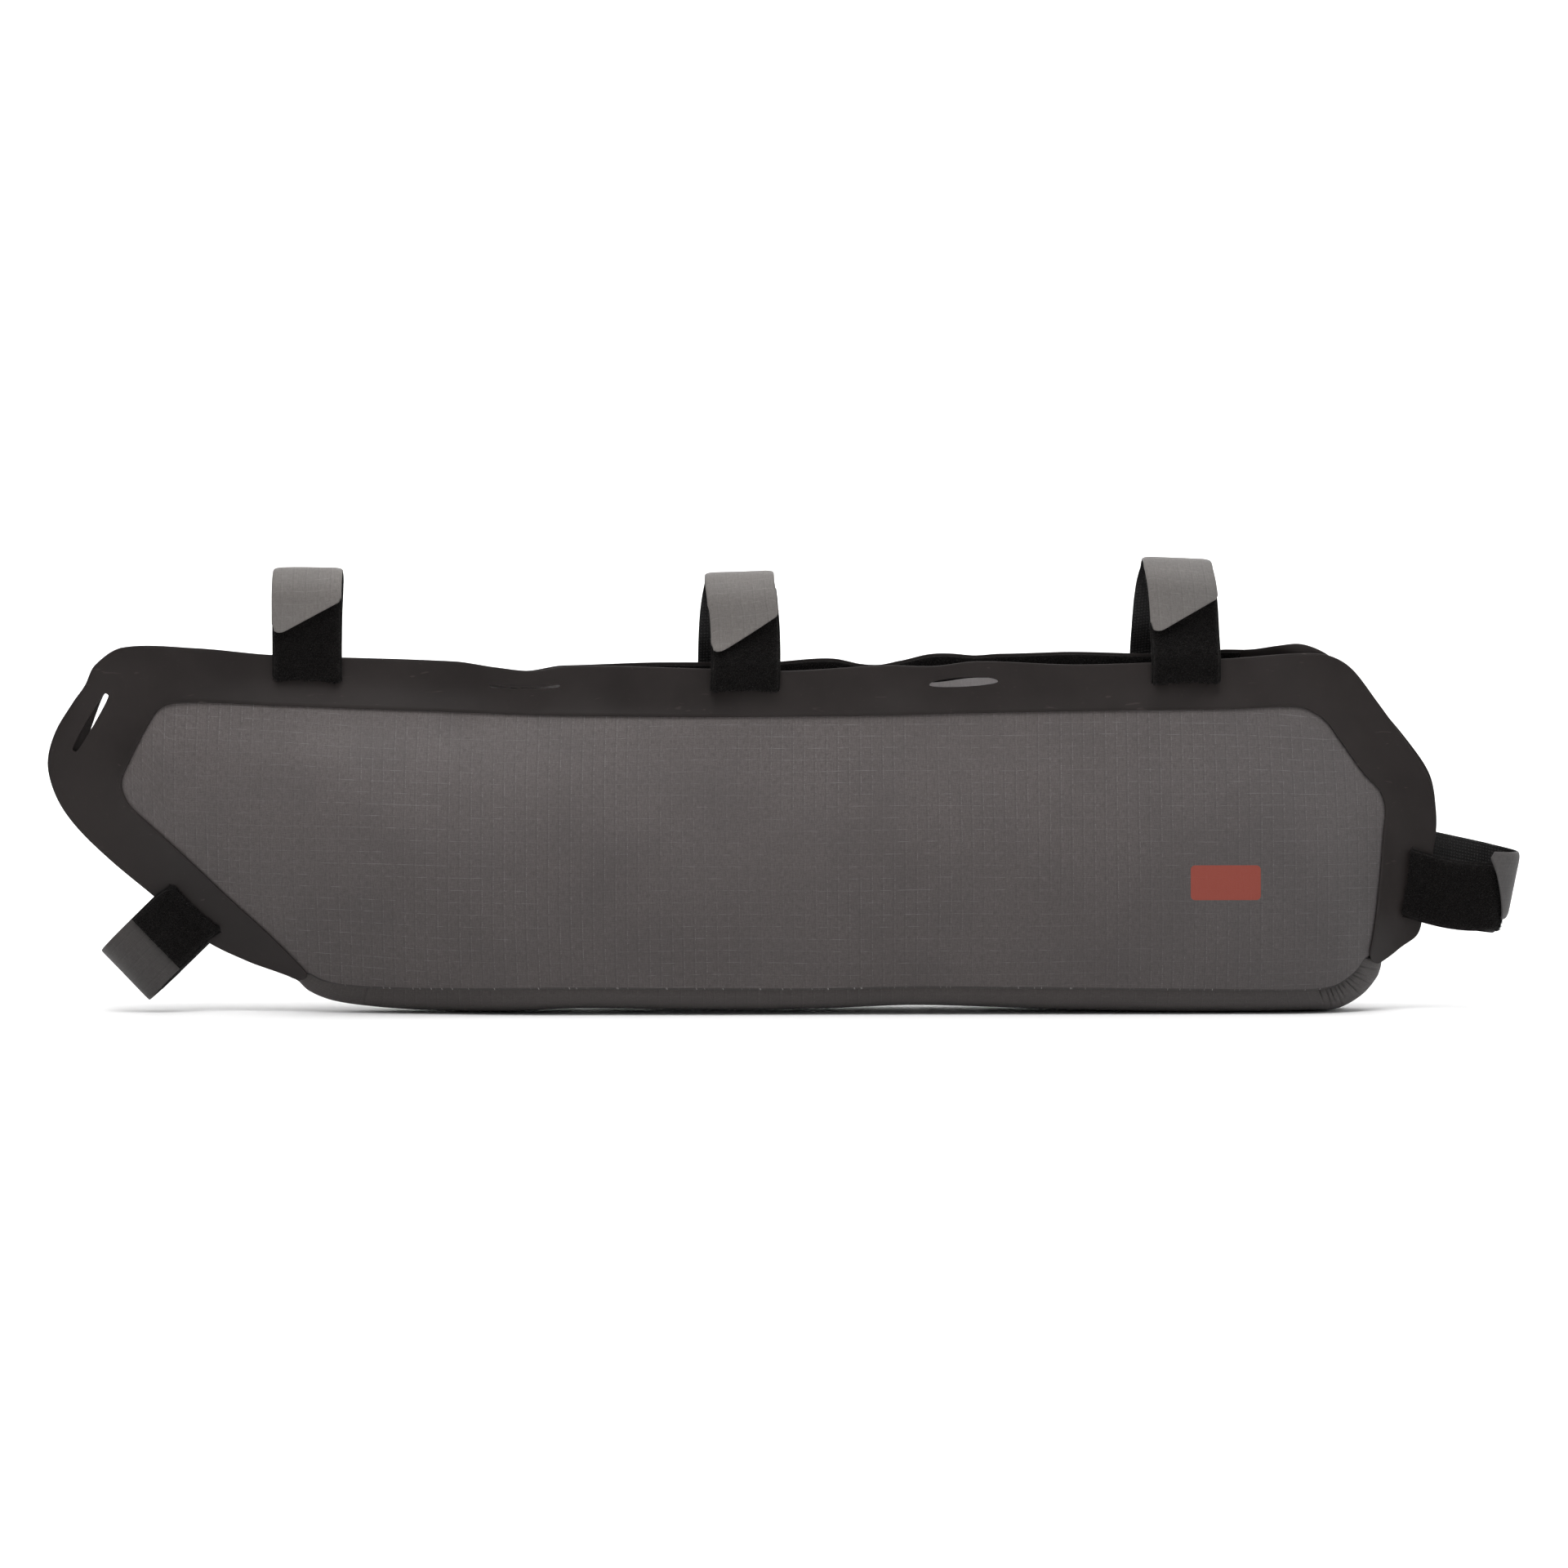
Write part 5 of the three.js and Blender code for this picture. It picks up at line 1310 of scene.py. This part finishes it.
def make_strap(name, seed):
    s = strap_facts(name)
    near, far, arc, tab = strap_lines(s)
    rows = with_offsets([tuple(point) for point in near[::-1]] + far + arc + tab)
    lengths = run_along(rows[:, :2])
    tip = lengths[len(near) + len(far) + len(arc) // 2]
    body_at = np.concatenate([np.linspace(a, b, 3, endpoint=False)
                              for a, b in zip(lengths[:-1], lengths[1:]) if b <= tip + 1e-6])
    ring = ribbon_ring(np.linspace(0, 1, STRAP_COLUMNS), STRIP)
    wave = np.random.default_rng(seed).uniform(0, 6.28, 3)
    points, uvs = [], []
    for share, shift, offset in ring:
        column = share + shift / STRAP_WIDTH
        tab_at = tip + np.linspace(0, tab_end(s, share), TAB_STATIONS + 1)
        line = rows_at(np.concatenate([body_at, tab_at]), lengths, rows)
        thin = np.ones(len(line))
        thin[-1] = TAB_TIP_WALL
        ripple = RIPPLE * np.sin(line[:, 0] / RIPPLE_RUN + wave[0]) * math.sin(column * 5 + wave[1])
        sideways = np.full(len(line), (column - 0.5) * STRAP_WIDTH)
        place = place_on_strap(s, line, offset * thin + ripple, sideways)
        points.append(place)
        uvs.append(np.stack([np.full(len(line), column * STRAP_WIDTH), run_along(place)], axis=-1))
    # The hooks are on the face inside the loop, where offsets are positive if the tab is at the front.
    total = len(ring)
    kinds = []
    for j in range(total):
        inwards = (ring[j][2] + ring[(j + 1) % total][2]) / 2 * -s["tab_side"]
        kinds.append(1 if inwards > STRIP * HOOK_SIDE else 0)
    points, faces, flat_uvs, indices = loft(np.stack(points, axis=1), np.stack(uvs, axis=1), kinds)
    # Between the piles and along the far one the webbing's outer face and edges are black like them.
    piled = sum(1 for row in far if row[0] < s["reach"] * PLAIN_PILE_REACH)
    near_count = sum(1 for at in body_at if at < lengths[len(near) + piled - 1])
    grid = indices[:-2].reshape(-1, total)
    grid[:near_count][grid[:near_count] == 0] = 2
    indices[:-2] = grid.ravel()
    piece = make_piece("strap_" + name + "_webbing", (points, faces, flat_uvs, indices),
                       (TAB_CLOTHS.get(name, tab_cloth), hook_face, pile_plush), "strap_" + name,
                       angle=45)
    piles = [make_pile(s, near if on_tab else far, on_tab, label, seed * 10 + (1 if on_tab else 2))
             for on_tab, label in ((True, "tab_side"), (False, "plain_side"))]


def make_pile(s, leg, on_tab, label, seed):
    rows = with_offsets(leg)
    lengths = run_along(rows[:, :2])
    crossing = 1 if rows[0, 0] == 0 and rows[1, 0] < 0.01 else 0
    start = lengths[crossing] + PILE_START
    end = lengths[-1] - PILE_STOP
    if not on_tab:
        end = float(np.interp(s["reach"] * PLAIN_PILE_REACH, rows[crossing:, 0], lengths[crossing:]))
    kept = rows_at(np.arange(start, end, PILE_STEP), lengths, rows)
    half_way = len(kept) // 2
    outside = np.sign(kept[half_way, 1]) * np.sign(kept[half_way, 5])
    base = outside * (STRIP / 2 + PILE_BODY / 2 + PILE_LIFT)
    rng = np.random.default_rng(seed)
    points, uvs = [], []
    for share, shift, offset in ribbon_ring(np.linspace(0, 1, PILE_COLUMNS), PILE_BODY):
        column = share + shift / PILE_WIDTH
        lumps = PILE_LUMPS * rng.normal(size=len(kept)) * (abs(offset) > 0.3)
        thin = np.ones(len(kept))
        thin[0] = thin[-1] = PILE_END_WALL
        sideways = np.full(len(kept), (column - 0.5) * PILE_WIDTH)
        points.append(place_on_strap(s, kept, base + offset * outside * thin + outside * lumps, sideways))
        run = np.arange(len(kept)) * PILE_STEP
        uvs.append(np.stack([np.full(len(kept), column * PILE_WIDTH), run], axis=-1))
    rings = np.stack(points, axis=1)
    name = "pile_" + s["name"] + "_" + label
    piece = make_piece(name + "_nap", loft(rings, np.stack(uvs, axis=1)), (pile_plush,), name,
                       angle=60)
    anchors, normals = scatter(rings, PILE_OUTER, PILE_DENSITY, seed)
    outwards = rings[half_way, PILE_OUTER].mean(axis=0) - rings[half_way, PILE_INNER].mean(axis=0)
    flip = np.sign(np.sum(normals * outwards, axis=1))[:, None]
    normals = normals * np.where(flip == 0, 1, flip)
    add_fibres(name + "_fibres", anchors, normals, PILE_FIBRE, seed + 1)
    return piece


front_band = make_band(-1)
back_band = make_band(1)
front_panel = make_panel(-1)
back_panel = make_panel(1)
bottom = make_gusset()
make_tape(-1)
make_tape(1)
for number, strap in enumerate(STRAPS):
    make_strap(strap, number + 1)

# The stage, in metres and watts: a pale sweep of floor and backdrop, soft lights and the camera
SWEEP_HALF_WIDTH = 4.0
SWEEP_NEAR = -3.0
SWEEP_FAR = 1.2
SWEEP_BEND = 1.2
SWEEP_TOP = 4.0
WORLD_LIGHT = 0.32
CAMERA_DISTANCE = 1.9
CAMERA_RISE = 1.5
CAMERA_SWING = -1.5
CAMERA_TARGET = (-0.0014, -0.012, 0.0821)
VIEW_WIDTH = 0.5614
SENSOR = 36.0
# name, place, target, width, height, power
LIGHTS = [
    ("key_softbox", (-0.35, -1.05, 2.2), (0, 0, 0.08), 1.2, 1.2, 24.5),
    ("top_softbox", (0.1, -0.1, 2.0), (0, 0, 0.05), 1.6, 1.6, 27),
    ("side_softbox", (1.9, -1.0, 0.9), (0, 0, 0.08), 1.0, 1.0, 4),
    ("backdrop_light", (0, 0.9, 1.9), (0, 2.4, 1.1), 2.6, 0.5, 60),
]


def make_stage():
    paper = Graph("stage_paper").finish((0.93, 0.93, 0.93), 0.9)
    profile = [(SWEEP_NEAR, 0.0), (SWEEP_FAR, 0.0)]
    profile += [(SWEEP_FAR + SWEEP_BEND * math.sin(a), SWEEP_BEND - SWEEP_BEND * math.cos(a))
                for a in np.radians(np.arange(5, 91, 5))]
    profile.append((SWEEP_FAR + SWEEP_BEND, SWEEP_TOP))
    points = [(x, y, z) for y, z in profile for x in (-SWEEP_HALF_WIDTH, SWEEP_HALF_WIDTH)]
    faces = [(2 * k, 2 * k + 1, 2 * k + 3, 2 * k + 2) for k in range(len(profile) - 1)]
    mesh = bpy.data.meshes.new("stage_sweep")
    mesh.from_pydata(points, [], faces)
    mesh.materials.append(paper)
    mesh.polygons.foreach_set("use_smooth", [True] * len(mesh.polygons))
    sweep = bpy.data.objects.new("stage_sweep", mesh)
    bpy.context.scene.collection.objects.link(sweep)


def add_light(name, place, target, width, height, power):
    data = bpy.data.lights.new(name, "AREA")
    data.energy = power
    data.shape = "RECTANGLE"
    data.size = width
    data.size_y = height
    lamp = bpy.data.objects.new(name, data)
    lamp.location = place
    lamp.rotation_euler = (Vector(target) - Vector(place)).to_track_quat("-Z", "Y").to_euler()
    bpy.context.scene.collection.objects.link(lamp)


def make_world():
    world = bpy.data.worlds.new("studio")
    world.use_nodes = True
    back = world.node_tree.nodes["Background"]
    back.inputs["Color"].default_value = (1, 1, 1, 1)
    back.inputs["Strength"].default_value = WORLD_LIGHT
    bpy.context.scene.world = world


def make_camera():
    data = bpy.data.cameras.new("photo_camera")
    data.sensor_width = SENSOR
    data.lens = SENSOR * CAMERA_DISTANCE / VIEW_WIDTH
    data.clip_end = 50
    camera = bpy.data.objects.new("photo_camera", data)
    rise, swing = math.radians(CAMERA_RISE), math.radians(CAMERA_SWING)
    back = Vector((math.sin(swing) * math.cos(rise), -math.cos(swing) * math.cos(rise), math.sin(rise)))
    camera.location = Vector(CAMERA_TARGET) + back * CAMERA_DISTANCE
    camera.rotation_euler = (-back).to_track_quat("-Z", "Y").to_euler()
    bpy.context.scene.collection.objects.link(camera)
    bpy.context.scene.camera = camera


make_stage()
make_world()
for light in LIGHTS:
    add_light(*light)
make_camera()
scene = bpy.context.scene
scene.view_settings.view_transform = "Standard"
scene.view_settings.look = "None"
